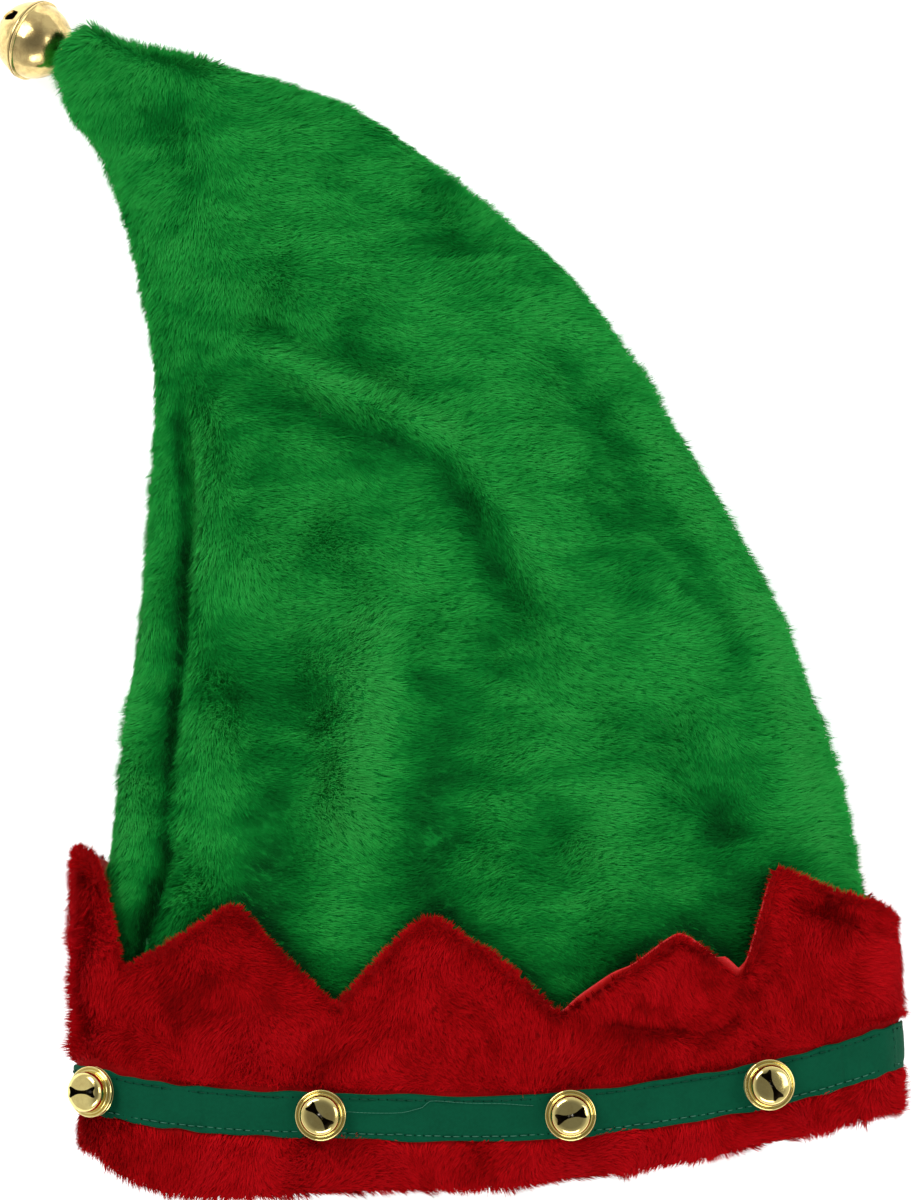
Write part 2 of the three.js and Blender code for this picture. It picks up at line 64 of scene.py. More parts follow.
camera_height = 5.0
shown_height = 0.432
middle_of_view = (0.0028, -0.0024)
sensor = 36.0
hat_middle_height = 0.03

camera = in_scene("camera", bpy.data.cameras.new("camera"))
camera.data.sensor_width = sensor
camera.data.lens = sensor * (camera_height - hat_middle_height) / shown_height
camera.location = (*middle_of_view, camera_height)
bpy.context.scene.camera = camera
bpy.context.scene.view_settings.view_transform = "Standard"
print("lens", round(camera.data.lens, 1), "mm")


# %% Soft boxes and sky
def soft_box(name, place, size, power):
    """A rectangular lamp that looks at the middle of the hat."""
    lamp = in_scene(name, bpy.data.lights.new(name, "AREA"))
    lamp.data.shape = "RECTANGLE"
    lamp.data.size, lamp.data.size_y = size
    lamp.data.energy = power
    lamp.location = place
    towards = Vector((0, 0, hat_middle_height)) - Vector(place)
    lamp.rotation_euler = towards.to_track_quat("-Z", "Y").to_euler()


soft_box("key", (-0.75, 0.85, 1.15), (0.9, 0.7), 15)
soft_box("fill", (1.15, 0.1, 1.0), (0.7, 0.9), 7)
soft_box("front", (0.1, -1.25, 0.9), (1.0, 0.5), 8)

sky = bpy.data.worlds.new("sky")
bpy.context.scene.world = sky
sky.use_nodes = True
sky_tree = sky.node_tree
heading = sky_tree.nodes.new("ShaderNodeSeparateXYZ")
sky_tree.links.new(sky_tree.nodes.new("ShaderNodeTexCoord").outputs["Generated"], heading.inputs[0])
overhead = sky_tree.nodes.new("ShaderNodeMapRange")
for label, value in (("From Min", 0.5), ("From Max", 0.95), ("To Min", 0.8), ("To Max", 0.22)):
    overhead.inputs[label].default_value = value
sky_tree.links.new(heading.outputs[2], overhead.inputs["Value"])
sky_tree.links.new(overhead.outputs[0], sky_tree.nodes["Background"].inputs["Strength"])
sky_tree.nodes["Background"].inputs["Color"].default_value = (0.97, 0.98, 1.0, 1)

# %% Floor
floor_mesh = bpy.data.meshes.new("floor")
reach = 3.0
floor_mesh.from_pydata(
    [(-reach, -reach, 0), (reach, -reach, 0), (reach, reach, 0), (-reach, reach, 0)],
    [],
    [(0, 1, 2, 3)],
)
floor = in_scene("floor", floor_mesh)
floor.location.z = -0.0002
floor_finish = bpy.data.materials.new("floor_finish")
floor_finish.use_nodes = True
floor_sockets = floor_finish.node_tree.nodes["Principled BSDF"].inputs
floor_sockets["Base Color"].default_value = (0.93, 0.93, 0.93, 1)
floor_sockets["Roughness"].default_value = 0.9
floor_sockets["Emission Color"].default_value = (1, 1, 1, 1)
floor_sockets["Emission Strength"].default_value = 0.55
floor_mesh.materials.append(floor_finish)

# %% [markdown]
# ## The hat's measures
#
# These are the sizes that the frame's solids are made from, in millimetres, with the hat's own
# origin at the middle of its lowest hem. Repeating them lets each piece be rebuilt with many more
# points than the solids have, in exactly the same place. The last value carries the hat's own
# millimetres to the frame's metres.

# %% Sizes in millimetres
hat_width, hat_length, puff_height = 295.0, 412.0, 50.0
crown_wall, crown_back = 3.0, 0.88
cuff_height, cuff_wall, cuff_flare = 104.0, 3.0, 7.0
hem_dip, hem_round, lining_wall, pile_room = 20.5, 3.0, 1.0, 1.4
band_width, band_wall, seat_gap = 16.0, 1.0, 0.3
bell_height, tip_bell_size = 10.1, 28.0
cuff_inside = lining_wall + seat_gap
cuff_outside = cuff_inside + cuff_wall
band_inside = cuff_outside + seat_gap
band_outside = band_inside + band_wall
bell_seat = band_outside + seat_gap
back_lift = seat_gap + bell_seat + bell_height
hat_origin = np.array((14.097, -213.904, 0.0))
sheet_origin = np.array((13.66, -211.38))


def in_frame(points):
    """The hat's own millimetres as metres in the frame."""
    return (np.asarray(points) + hat_origin) * 0.001


# %% [markdown]
# ## The crown's surface
#
# A hat like this is two flat pieces of plush sewn along their sides and stuffed with nothing but
# air, so each cut across it is a flattened oval. The form could be sculpted, but a short table of
# cuts from hem to tip, with a smooth curve through them, keeps every size readable. `place` counts
# the cuts and `turn` goes round the hat.

# %% Cuts across the crown
cut_names = ("left_x", "left_y", "right_x", "right_y", "thick", "on_bells", "on_tip")
cut_rows = np.array(
    [
        (-0.478, 0.044, 0.485, 0.072, 0.94, 1.18, 0),
        (-0.470, 0.179, 0.461, 0.207, 0.98, 0.95, 0),
        (-0.453, 0.314, 0.428, 0.342, 1.02, 0.4, 0),
        (-0.431, 0.437, 0.364, 0.481, 1.0, 0.03, 0),
        (-0.415, 0.533, 0.291, 0.584, 0.96, 0, 0),
        (-0.405, 0.629, 0.203, 0.687, 0.9, 0, 0),
        (-0.404, 0.717, 0.103, 0.791, 0.82, 0, 0),
        (-0.421, 0.791, -0.005, 0.857, 0.72, 0, 0),
        (-0.441, 0.852, -0.152, 0.936, 0.62, 0, 0),
        (-0.467, 0.903, -0.300, 0.975, 0.52, 0, 0.07),
        (-0.504, 0.940, -0.430, 0.997, 0.43, 0, 0.37),
        (-0.516, 0.975, -0.471, 1.009, 0.32, 0, 0.735),
    ]
)
cuts = dict(zip(cut_names, cut_rows.T))
last_cut = len(cut_rows) - 1
crown_tip = (-0.506, 1.004, 0.975)
squareness, left_hem_square, right_hem_square, back_hem_share = 0.8, 9.0, 1.6, 0.4
cuff_section = (cuts["left_y"][1] - cuts["left_y"][0]) * hat_length


def smooth(x, low, high):
    """0 below low, 1 above high, with a soft passage between."""
    share = np.clip((x - low) / (high - low), 0, 1)
    return share * share * (3 - 2 * share)


def unit(vectors):
    """The same directions, each with a length of one."""
    return vectors / np.maximum(np.linalg.norm(vectors, axis=-1, keepdims=True), 1e-9)


def cut_value(name, place):
    """One column of the cuts as a smooth curve."""
    rows = cuts[name]
    low = np.clip(np.floor(place), 0, last_cut - 1).astype(int)
    share = place - low
    start, end = rows[low], rows[low + 1]
    before = np.where(low > 0, rows[np.maximum(low - 1, 0)], 2 * start - end)
    after = np.where(low + 2 <= last_cut, rows[np.minimum(low + 2, last_cut)], 2 * end - start)
    start_slope, end_slope = (end - before) / 2, (after - start) / 2
    bow = 2 * (start - end) + start_slope + end_slope
    lean = 3 * (end - start) - 2 * start_slope - end_slope
    return ((bow * share + lean) * share + start_slope) * share + start


# %% Points of the crown
def crown_point(place, turn):
    """Points of the smooth crown, before any fold."""
    place, turn = np.broadcast_arrays(np.asarray(place, float), np.asarray(turn, float))
    inside = np.minimum(place, last_cut)
    left, right = (
        np.stack((cut_value(side + "_x", inside) * hat_width, cut_value(side + "_y", inside) * hat_length), -1)
        for side in ("left", "right")
    )
    rise = cut_value("thick", inside) * puff_height / 2
    lift = np.maximum(0, cut_value("on_bells", inside)) * back_lift
    lift = lift + np.maximum(0, cut_value("on_tip", inside)) * tip_bell_size
    middle = np.concatenate(((left + right) / 2, (lift + rise)[..., None]), -1)
    past = np.clip(place - last_cut, 0, 1)
    size = np.sqrt(1 - past**2)
    end = np.array((crown_tip[0] * hat_width, crown_tip[1] * hat_length, crown_tip[2] * tip_bell_size))
    middle = middle + (end - middle) * past[..., None]
    across = np.sign(np.cos(turn)) * np.abs(np.cos(turn)) ** squareness
    up = np.sign(np.sin(turn)) * np.abs(np.sin(turn)) ** squareness
    height = np.where(up < 0, np.maximum(up / crown_back, -1), up)
    square = np.where(across < 0, left_hem_square, right_hem_square)
    hem_share = np.where(up < 0, back_hem_share, 1) * (1 - smooth(place, 1.5, 4))
    dip = hem_dip * hem_share * (1 - np.abs(across) ** square)
    point = middle.copy()
    point[..., :2] += (right - left) / 2 * (across * size)[..., None]
    point[..., 1] -= dip
    point[..., 2] += rise * height * size
    return point


def normal_of(surface, place, turn, step):
    """Outward directions of a surface, from small steps along and round it."""
    turn_step = math.radians(1.5)
    along = surface(place + step, turn) - surface(place - step, turn)
    round_it = surface(place, turn + turn_step) - surface(place, turn - turn_step)
    return unit(np.cross(along, round_it))


print("crown at the hem's front", crown_point(0.0, math.pi / 2).round(1))

# %% [markdown]
# ## Folds
#
# Plush that has been packed flat keeps soft dents, rolls and a few sharp creases. The large folds
# are those of the frame; the finer ones are added here. Each is a line drawn on the hat as seen
# from above, in millimetres from the middle of the view, with a width and a rise that is negative
# for a valley. They could be sculpted or simulated, but then nobody could say where a fold is.
# Lines of the same kind paint the pile darker or lighter where its folds would shade it or catch
# the light: painted shade in valleys and creases, painted light on rolls and ridges.

# %% Large folds, shared with the frame
fold_rows = [
    ((-0.362, 0.734), (-0.371, 0.551), (-0.411, 0.25), 0.03, -0.12),
    ((-0.32, 0.774), (-0.228, 0.734), (-0.094, 0.692), 0.03, -0.08),
    ((-0.301, 0.743), (-0.106, 0.682), (0.089, 0.507), 0.035, 0.08),
    ((-0.344, 0.721), (-0.082, 0.664), (0.065, 0.481), 0.035, -0.11),
    ((0.052, 0.778), (0.187, 0.621), (0.321, 0.446), 0.04, -0.1),
    ((-0.112, 0.83), (-0.039, 0.817), (0.028, 0.835), 0.03, -0.07),
    ((-0.137, 0.516), (-0.155, 0.393), (-0.191, 0.28), 0.05, 0.12),
    ((-0.307, 0.494), (-0.228, 0.459), (-0.204, 0.393), 0.045, -0.11),
    ((-0.015, 0.498), (-0.021, 0.393), (-0.082, 0.288), 0.045, -0.1),
    ((0.205, 0.428), (0.26, 0.35), (0.29, 0.288), 0.04, -0.09),
    ((0.065, 0.341), (0.083, 0.306), (0.101, 0.271), 0.045, -0.08),
    ((-0.289, 0.332), (-0.271, 0.306), (-0.24, 0.271), 0.04, -0.09),
    ((-0.417, 0.957), (-0.393, 0.94), (-0.374, 0.918), 0.025, -0.05),
]
hat_scale = np.array((hat_width, hat_length))


def nearest_on(line, points):
    """Distance from each point to a line of many corners, and the share of the line passed there."""
    best = np.full(len(points), np.inf)
    share = np.zeros(len(points))
    for i, corner in enumerate(line):
        distance = np.hypot(*(points - corner).T)
        nearer = distance < best
        best[nearer] = distance[nearer]
        share[nearer] = i / (len(line) - 1)
    return best, share


def large_folds(points):
    """How far the frame's own folds push out the crown's front."""
    total = np.zeros(len(points))
    t = np.linspace(0, 1, 33)[:, None]
    for start, bend, end, wide, rise in fold_rows:
        start, bend, end = (np.array(p) * hat_scale for p in (start, bend, end))
        line = (1 - t) ** 2 * start + 2 * t * (1 - t) * bend + t**2 * end
        distance, share = nearest_on(line, points)
        fade = smooth(share, -0.1, 0.25) * (1 - smooth(share, 0.75, 1.1))
        clear = smooth(points[:, 1], cuff_height, cuff_height * 1.5) if rise > 0 else 1
        total += rise * puff_height * fade * clear * np.exp(-((distance / (wide * hat_width)) ** 2))
    return total


# %% Fine folds
crown_creases = [
    (
        ((-100, 89), (-97, 74), (-96, 53), (-95, 36), (-95, 15), (-96, -13), (-99, -35), (-101, -64), (-102, -82)),
        2.8, -4.2,
    ),
    (((-102, -80), (-100, -92), (-103, -100), (-106, -107), (-109, -118), (-111, -125), (-112, -131)), 4.6, -8.0),
    (((-80, 107), (-69, 100), (-57, 91), (-41, 84), (-28, 77), (-4, 69)), 5.0, -3.6),
    (
        ((-83, 86), (-66, 77), (-54, 69), (-36, 64), (-23, 59), (-11, 52), (1, 42), (9, 28), (18, 8), (31, -10)),
        6.5, -4.2,
    ),
    (((-72, 94), (-60, 86), (-41, 79), (-23, 70), (-3, 61), (10, 49), (26, 26), (40, -1)), 5.5, 2.6),
    (((29, 109), (54, 62), (87, 15), (108, -28)), 7.0, -2.8),
    (((-19, 131), (6, 126), (22, 132)), 4.0, -2.4),
    (((-72, -10), (-54, -22), (-46, -48)), 9.0, -1.0),
    (((-27, 1), (-28, -31), (-37, -71), (-41, -96)), 8.0, 2.0),
    (((9, -6), (11, -31)), 7.0, -2.4),
    (((-10, -82), (-12, -96)), 8.0, -2.6),
    (((38, -82), (39, -93)), 8.0, -2.2),
    (((-109, 181), (-99, 170), (-95, 152)), 5.0, -2.2),
    (((-43, 161), (-44, 150)), 7.0, -2.0),
    (((-43, 123), (-44, 113)), 6.0, -1.8),
    (((76, -37), (77, -51)), 8.0, -2.2),
    (((92, -64), (98, -89)), 7.0, -2.4),
]
# Lines of painted shade (negative) and painted light (positive) on the crown's pile: corners seen from above,
# width, strength.
crown_shade_strokes = [
    (((-99, 84), (-97, 60), (-95, 20), (-97, -20), (-101, -70), (-103, -98)), 2.2, -0.42),
    (((-103, -96), (-108, -116), (-112, -131)), 3.0, -0.3),
    (((-111, 44), (-112, 1), (-115, -42), (-119, -93), (-120, -118)), 7, 0.42),
    (((-90, 82), (-91, 40), (-90, -10), (-92, -40)), 7, 0.16),
    (((-70, 109), (-54, 96), (-25, 82)), 14, -0.14),
    (((-72, 98), (-39, 80), (-3, 63), (14, 46)), 7, 0.34),
    (((-84, 66), (-72, 60), (-58, 58)), 9, -0.16),
    (((-12, 50), (4, 37), (15, 8), (29, -19)), 9, -0.14),
    (((-88, 10), (-80, -28), (-66, -60)), 12, -0.2),
    (((-84, -35), (-75, -57)), 10, 0.2),
    (((-67, -44), (-66, -72), (-68, -100), (-72, -132)), 12, -0.34),
    (((-27, 5), (-29, -35), (-38, -71), (-42, -100)), 10, 0.4),
    (((-42, -100), (-44, -128)), 8, 0.2),
    (((-8, -12), (-8, -60), (-6, -112), (-6, -140)), 13, -0.3),
    (((10, 14), (12, -20)), 12, -0.12),
    (((28, -70), (30, -100)), 10, -0.12),
    (((44, 48), (62, 18), (70, -8)), 9, -0.22),
    (((54, -13), (50, -50), (62, -112)), 13, 0.14),
    (((95, 20), (112, -12), (124, -44), (136, -100)), 8, 0.4),
    (((60, 76), (82, 44), (97, 14)), 8, 0.36),
    (((20, 112), (42, 98), (60, 74)), 8, 0.24),
    (((102, -10), (99, -38)), 9, -0.18),
    (((96, -60), (97, -100), (95, -140)), 11, -0.26),
    (((-102, 185), (-97, 163)), 12, -0.14),
    (((-52, 158), (-20, 132), (-38, 118)), 16, -0.16),
    (((-3, 145), (26, 120)), 9, 0.1),
    (((-90, 152), (-68, 136)), 13, 0.12),
    (((-90, -100), (-88, -122)), 10, 0.26),
]


def fine_line(corners):
    """The corners of a crease joined by steps of about two millimetres."""
    corners = np.array(corners, float)
    lengths = np.concatenate(([0], np.cumsum(np.hypot(*np.diff(corners, axis=0).T))))
    steps = np.linspace(0, lengths[-1], max(5, int(lengths[-1] / 2)))
    return np.stack([np.interp(steps, lengths, corners[:, i]) for i in (0, 1)], -1)


def creases_at(points, creases):
    """How far a list of creases pushes out a surface. The points are seen from above."""
    total = np.zeros(len(points))
    seen = points + sheet_origin
    for corners, wide, rise in creases:
        distance, share = nearest_on(fine_line(corners), seen)
        fade = smooth(share, -0.02, 0.2) * (1 - smooth(share, 0.8, 1.02))
        total += rise * fade * np.exp(-((distance / wide) ** 2))
    return total


# %% [markdown]
# ## Unevenness
#
# Nothing sewn is perfectly even. A sum of a few slow waves in chosen directions gives a soft,
# repeatable unevenness that several pieces use: for small swellings of the cloth and for the way the
# pile has been brushed. A noise texture could displace the mesh, but the pile has to know it too.


# %% Slow waves
def waves(points, length, seed):
    """A soft field between about -1 and 1, whose hills are about as far apart as the length."""
    rng = np.random.default_rng(seed)
    total = np.zeros(points.shape[:-1])
    for _ in range(14):
        direction = rng.normal(size=3)
        direction /= np.linalg.norm(direction)
        pitch = length * rng.uniform(0.6, 1.7)
        total += np.sin(points @ direction * (2 * math.pi / pitch) + rng.uniform(0, 2 * math.pi))
    return total / 3.2


# %% Grid of the crown's outside
crown_rows, crown_columns = 250, 280
crown_places = np.concatenate(
    (np.linspace(0, last_cut, crown_rows), last_cut + np.array((0.2, 0.4, 0.55, 0.7, 0.8, 0.88, 0.95, 1.0)))
)
crown_turns = np.linspace(0, 2 * math.pi, crown_columns, endpoint=False)


def crown_grid():
    """The folded crown as rows from hem to tip."""
    place, turn = np.meshgrid(crown_places, crown_turns, indexing="ij")
    smooth_crown = crown_point(place, turn)
    normal = normal_of(crown_point, np.minimum(place, last_cut + 0.9), turn, 0.05)
    front = smooth(np.sin(turn), 0.05, 0.45)
    flat = smooth_crown[..., :2].reshape(-1, 2)
    rise = (large_folds(flat) + creases_at(flat, crown_creases)).reshape(place.shape)
    swell = waves(smooth_crown, 38, 3) * 0.5 * (1 - smooth(place, last_cut - 1, last_cut))
    return smooth_crown + normal * ((rise + swell) * front)[..., None]


crown_outside = crown_grid()
print("crown grid", crown_outside.shape, "from", in_frame(crown_outside.reshape(-1, 3)).min(0).round(4))

# %% [markdown]
# ## From grids to meshes
#
# Every cloth piece is a grid of points that closes round the hat. Two grids, the outer and the inner
# side, joined at their ends, make a wall with real thickness. The helper below also lays a flat
# pattern of the cloth on the mesh, in millimetres, so that weaves run along the cloth.


# %% Mesh helpers
def mesh_of(name, points, faces, finish):
    """A smoothly shaded object from arrays of points in millimetres and of faces."""
    faces = np.asarray(faces, np.int32)
    mesh = bpy.data.meshes.new(name)
    mesh.vertices.add(len(points))
    mesh.vertices.foreach_set("co", in_frame(points).astype(np.float32).ravel())
    mesh.loops.add(faces.size)
    mesh.loops.foreach_set("vertex_index", faces.ravel())
    mesh.polygons.add(len(faces))
    mesh.polygons.foreach_set("loop_start", np.arange(len(faces), dtype=np.int32) * faces.shape[1])
    mesh.polygons.foreach_set("use_smooth", np.full(len(faces), True))
    mesh.update(calc_edges=True)
    mesh.materials.append(finish)
    return in_scene(name, mesh)


def grid_normals(grid):
    """Outward directions of a grid that closes round its columns."""
    along = np.gradient(grid, axis=0)
    round_it = np.roll(grid, -1, axis=1) - np.roll(grid, 1, axis=1)
    return unit(np.cross(along, round_it))


def wall(name, rings, finish, skipped_row=None):
    """A closed wall: rings of points, each joined to the next and the last to the first."""
    rows, columns = rings.shape[:2]
    kept = [r for r in range(rows) if r != skipped_row]
    row, column = (a.ravel() for a in np.meshgrid(kept, np.arange(columns), indexing="ij"))
    next_row, next_column = (row + 1) % rows, (column + 1) % columns
    faces = np.stack(
        (
            row * columns + column,
            row * columns + next_column,
            next_row * columns + next_column,
            next_row * columns + column,
        ),
        -1,
    )
    piece = mesh_of(name, rings.reshape(-1, 3), faces, finish)
    middle = rings.mean(0)
    around = np.concatenate(([0], np.cumsum(np.linalg.norm(np.roll(middle, -1, 0) - middle, axis=1))))
    up = np.concatenate(([0], np.cumsum(np.linalg.norm(np.diff(rings, axis=0), axis=2).mean(1))))
    up = np.append(up, up[-1] + 3)
    corners = np.stack(
        (
            around[column], up[row], around[column + 1], up[row],
            around[column + 1], up[row + 1], around[column], up[row + 1],
        ),
        -1,
    )
    pattern = piece.data.uv_layers.new(name="cloth")
    pattern.data.foreach_set("uv", (corners * 0.01).astype(np.float32).ravel())
    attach(piece, "root")
    print(name, len(faces) * 2, "triangles")
    return piece


def thinned(rings, step):
    """Every few rings of one side of a wall, with the first and the last kept."""
    return rings[np.unique(np.append(np.arange(0, len(rings), step), len(rings) - 1))]


# %% [markdown]
# ## Effects that several finishes share
#
# Plush, ribbon, satin and brass are all procedural. Three small node groups hold what they have in
# common: the shade of a pile from root to tip, the over-and-under of a weave, and the smudges on a
# handled metal. Each material places the group it needs with its own values.


# %% Node helpers
def new_group(name, inputs, outputs):
    """An empty node group with named sockets, and its input and output nodes."""
    group = bpy.data.node_groups.new(name, "ShaderNodeTree")
    for label, kind, value in inputs:
        socket = group.interface.new_socket(name=label, in_out="INPUT", socket_type=kind)
        socket.default_value = value
    for label, kind in outputs:
        group.interface.new_socket(name=label, in_out="OUTPUT", socket_type=kind)
    return group, group.nodes.new("NodeGroupInput"), group.nodes.new("NodeGroupOutput")


def maths(tree, operation, *values):
    """A Math node. Each value is a number or the socket that feeds it."""
    node = tree.nodes.new("ShaderNodeMath")
    node.operation = operation
    for i, value in enumerate(values):
        if isinstance(value, (int, float)):
            node.inputs[i].default_value = value
        else:
            tree.links.new(value, node.inputs[i])
    return node.outputs[0]


def blend_colours(tree, share, first, second):
    """A colour between two others. Each of the three is a value or a socket."""
    node = tree.nodes.new("ShaderNodeMix")
    node.data_type = "RGBA"
    for socket, value in ((node.inputs[0], share), (node.inputs[6], first), (node.inputs[7], second)):
        if isinstance(value, (int, float, tuple)):
            socket.default_value = value
        else:
            tree.links.new(value, socket)
    return node.outputs[2]


def noise(tree, scale, detail=3.0, roughness=0.55, vector=None):
    """A noise field. Without a vector it runs through the object's own space."""
    node = tree.nodes.new("ShaderNodeTexNoise")
    node.inputs["Scale"].default_value = scale
    node.inputs["Detail"].default_value = detail
    node.inputs["Roughness"].default_value = roughness
    if vector is None:
        vector = tree.nodes.new("ShaderNodeTexCoord").outputs["Object"]
    tree.links.new(vector, node.inputs["Vector"])
    return node.outputs[0]


# %% Pile shade
pile_shade, taken, given = new_group(
    "pile_shade",
    (
        ("Deep", "NodeSocketColor", (0, 0, 0, 1)),
        ("Bright", "NodeSocketColor", (1, 1, 1, 1)),
        ("Pale", "NodeSocketColor", (1, 1, 1, 1)),
        ("Mottle", "NodeSocketFloat", 0.5),
    ),
    (("Color", "NodeSocketColor"),),
)
strand = pile_shade.nodes.new("ShaderNodeAttribute")
strand.attribute_name = "pile"
parts = pile_shade.nodes.new("ShaderNodeSeparateColor")
pile_shade.links.new(strand.outputs["Color"], parts.inputs[0])
# Painted shade: each strand is darker towards its root.
root_to_tip = maths(pile_shade, "MULTIPLY_ADD", parts.outputs[0], 0.38, 0.6)
own_shade = maths(pile_shade, "SUBTRACT", parts.outputs[1], 0.5)
uneven = maths(pile_shade, "MULTIPLY", own_shade, taken.outputs[3])
shade = maths(pile_shade, "MULTIPLY", root_to_tip, maths(pile_shade, "ADD", uneven, 1.0))
# The third channel of the pile darkens or lightens each strand: the painted shade and light that it carries.
shade = maths(pile_shade, "MULTIPLY", shade, maths(pile_shade, "MULTIPLY_ADD", parts.outputs[2], 1.1, 0.38))
clamped = maths(pile_shade, "MINIMUM", shade, 1.35)
body = blend_colours(pile_shade, clamped, taken.outputs[0], taken.outputs[1])
# The brightest strands are mixed towards a lighter, less saturated colour: a painted highlight.
painted_highlight_share = maths(pile_shade, "MULTIPLY_ADD", shade, 0.75, -0.4)
painted_highlight_share = maths(pile_shade, "MINIMUM", maths(pile_shade, "MAXIMUM", painted_highlight_share, 0.0), 0.6)
pile_shade.links.new(blend_colours(pile_shade, painted_highlight_share, body, taken.outputs[2]), given.inputs[0])

# %% Weave
weave, taken, given = new_group(
    "weave",
    (("Across", "NodeSocketFloat", 100.0), ("Along", "NodeSocketFloat", 100.0)),
    (("Height", "NodeSocketFloat"), ("Shade", "NodeSocketFloat")),
)
pattern = weave.nodes.new("ShaderNodeUVMap")
pattern.uv_map = "cloth"
sides = weave.nodes.new("ShaderNodeSeparateXYZ")
weave.links.new(pattern.outputs[0], sides.inputs[0])
turns_over = math.pi * 100
threads = []
for way in (0, 1):
    passed = maths(weave, "MULTIPLY", sides.outputs[way], taken.outputs[way])
    threads.append(maths(weave, "SINE", maths(weave, "MULTIPLY", passed, turns_over)))
height = maths(weave, "MULTIPLY", *threads)
weave.links.new(maths(weave, "MULTIPLY_ADD", height, 0.5, 0.5), given.inputs[0])
slubs = maths(weave, "ADD", noise(weave, 900.0, 2.0), noise(weave, 75.0, 3.0))
# The weave's height makes the crossings where a thread dips under a little darker, painted shade; the slubs give a
# random tone.
evened = maths(weave, "MULTIPLY_ADD", height, 0.15, 0.1)
weave.links.new(maths(weave, "MULTIPLY_ADD", slubs, 0.75, evened), given.inputs[1])

# %% Smudges
smudges, taken, given = new_group(
    "smudges",
    (
        ("Scale", "NodeSocketFloat", 90.0),
        ("Clean", "NodeSocketFloat", 0.1),
        ("Dull", "NodeSocketFloat", 0.3),
    ),
    (("Mask", "NodeSocketFloat"), ("Roughness", "NodeSocketFloat")),
)
coat = smudges.nodes.new("ShaderNodeTexNoise")
coat.inputs["Detail"].default_value = 5.0
coat.inputs["Roughness"].default_value = 0.65
smudges.links.new(smudges.nodes.new("ShaderNodeTexCoord").outputs["Object"], coat.inputs["Vector"])
smudges.links.new(taken.outputs[0], coat.inputs["Scale"])
patches = smudges.nodes.new("ShaderNodeMapRange")
patches.inputs["From Min"].default_value = 0.45
patches.inputs["From Max"].default_value = 0.75
smudges.links.new(coat.outputs[0], patches.inputs["Value"])
span = maths(smudges, "SUBTRACT", taken.outputs[2], taken.outputs[1])
smudges.links.new(patches.outputs[0], given.inputs[0])
duller = maths(smudges, "MULTIPLY", patches.outputs[0], span)
smudges.links.new(maths(smudges, "ADD", duller, taken.outputs[1]), given.inputs[1])
print("shared effects", [g.name for g in bpy.data.node_groups])

# %% [markdown]
# ## The finishes
#
# A pile is darker at its roots, because little light gets in, and lighter at its tips, and no two
# tufts are quite alike. The material paints that shade at the roots, the painted shade and light
# that the strands carry, and a lighter, less saturated painted highlight on the brightest strands.
# Its strands are real geometry here, so besides those colours it needs only a faint sheen. A strand
# shows its far side as often as its near side, and both have to be lit alike, so the material turns
# the normal back where the far side is seen. The cloth that the strands grow from is seen between
# them and has the deep colour, painted shade like that of the roots.


# %% Finish helpers
def new_finish(name, **sockets):
    """A material, its node tree and its shader, with constants set on the shader's own sockets."""
    finish = bpy.data.materials.new(name)
    finish.use_nodes = True
    tree = finish.node_tree
    shader = tree.nodes["Principled BSDF"]
    for label, value in sockets.items():
        shader.inputs[label.replace("_", " ")].default_value = value
    return finish, tree, shader


def placed_group(tree, group, **values):
    """A node that uses one of the shared groups."""
    node = tree.nodes.new("ShaderNodeGroup")
    node.node_tree = group
    for label, value in values.items():
        node.inputs[label].default_value = value
    return node


def bumped(tree, shader, height, strength, distance):
    """Feeds a height into the shader's normal."""
    bump = tree.nodes.new("ShaderNodeBump")
    bump.inputs["Strength"].default_value = strength
    bump.inputs["Distance"].default_value = distance
    tree.links.new(height, bump.inputs["Height"])
    tree.links.new(bump.outputs[0], shader.inputs["Normal"])


def plush_pair(colour, deep, bright, pale, mottle):
    """The finish of a pile and that of the cloth it grows from."""
    pile, tree, shader = new_finish(
        colour + "_pile",
        Roughness=0.75,
        Specular_IOR_Level=0.04,
        Sheen_Weight=0.08,
        Sheen_Roughness=0.4,
        Sheen_Tint=(*bright[:3], 1),
    )
    tone = placed_group(tree, pile_shade, Deep=deep, Bright=bright, Pale=pale, Mottle=mottle)
    tree.links.new(tone.outputs[0], shader.inputs["Base Color"])
    geometry = tree.nodes.new("ShaderNodeNewGeometry")
    outward = tree.nodes.new("ShaderNodeVectorMath")
    outward.operation = "SCALE"
    tree.links.new(geometry.outputs["Normal"], outward.inputs[0])
    side = maths(tree, "MULTIPLY_ADD", geometry.outputs["Backfacing"], -2.0, 1.0)
    tree.links.new(side, outward.inputs["Scale"])
    tree.links.new(outward.outputs[0], shader.inputs["Normal"])
    ground, tree, shader = new_finish(colour + "_ground", Roughness=0.95, Specular_IOR_Level=0.1)
    tufts = noise(tree, 900.0, 4.0)
    # The cloth between the strands takes mostly the deep colour: painted shade at the roots, varied by a random
    # noise.
    darker = tuple(d * 0.75 + b * 0.25 for d, b in zip(deep, bright))
    lighter = tuple(d * 0.4 + b * 0.6 for d, b in zip(deep, bright))
    tree.links.new(blend_colours(tree, tufts, darker, lighter), shader.inputs["Base Color"])
    bumped(tree, shader, tufts, 0.5, 0.0008)
    return pile, ground


green_pile, green_ground = plush_pair(
    "green", (0.0004, 0.038, 0.0066, 1), (0.004, 0.326, 0.037, 1), (0.044, 0.385, 0.07, 1), 0.5
)
red_pile, red_ground = plush_pair(
    "red", (0.072, 0.0001, 0.0004, 1), (0.452, 0.0004, 0.0015, 1), (0.5, 0.005, 0.01, 1), 0.45
)

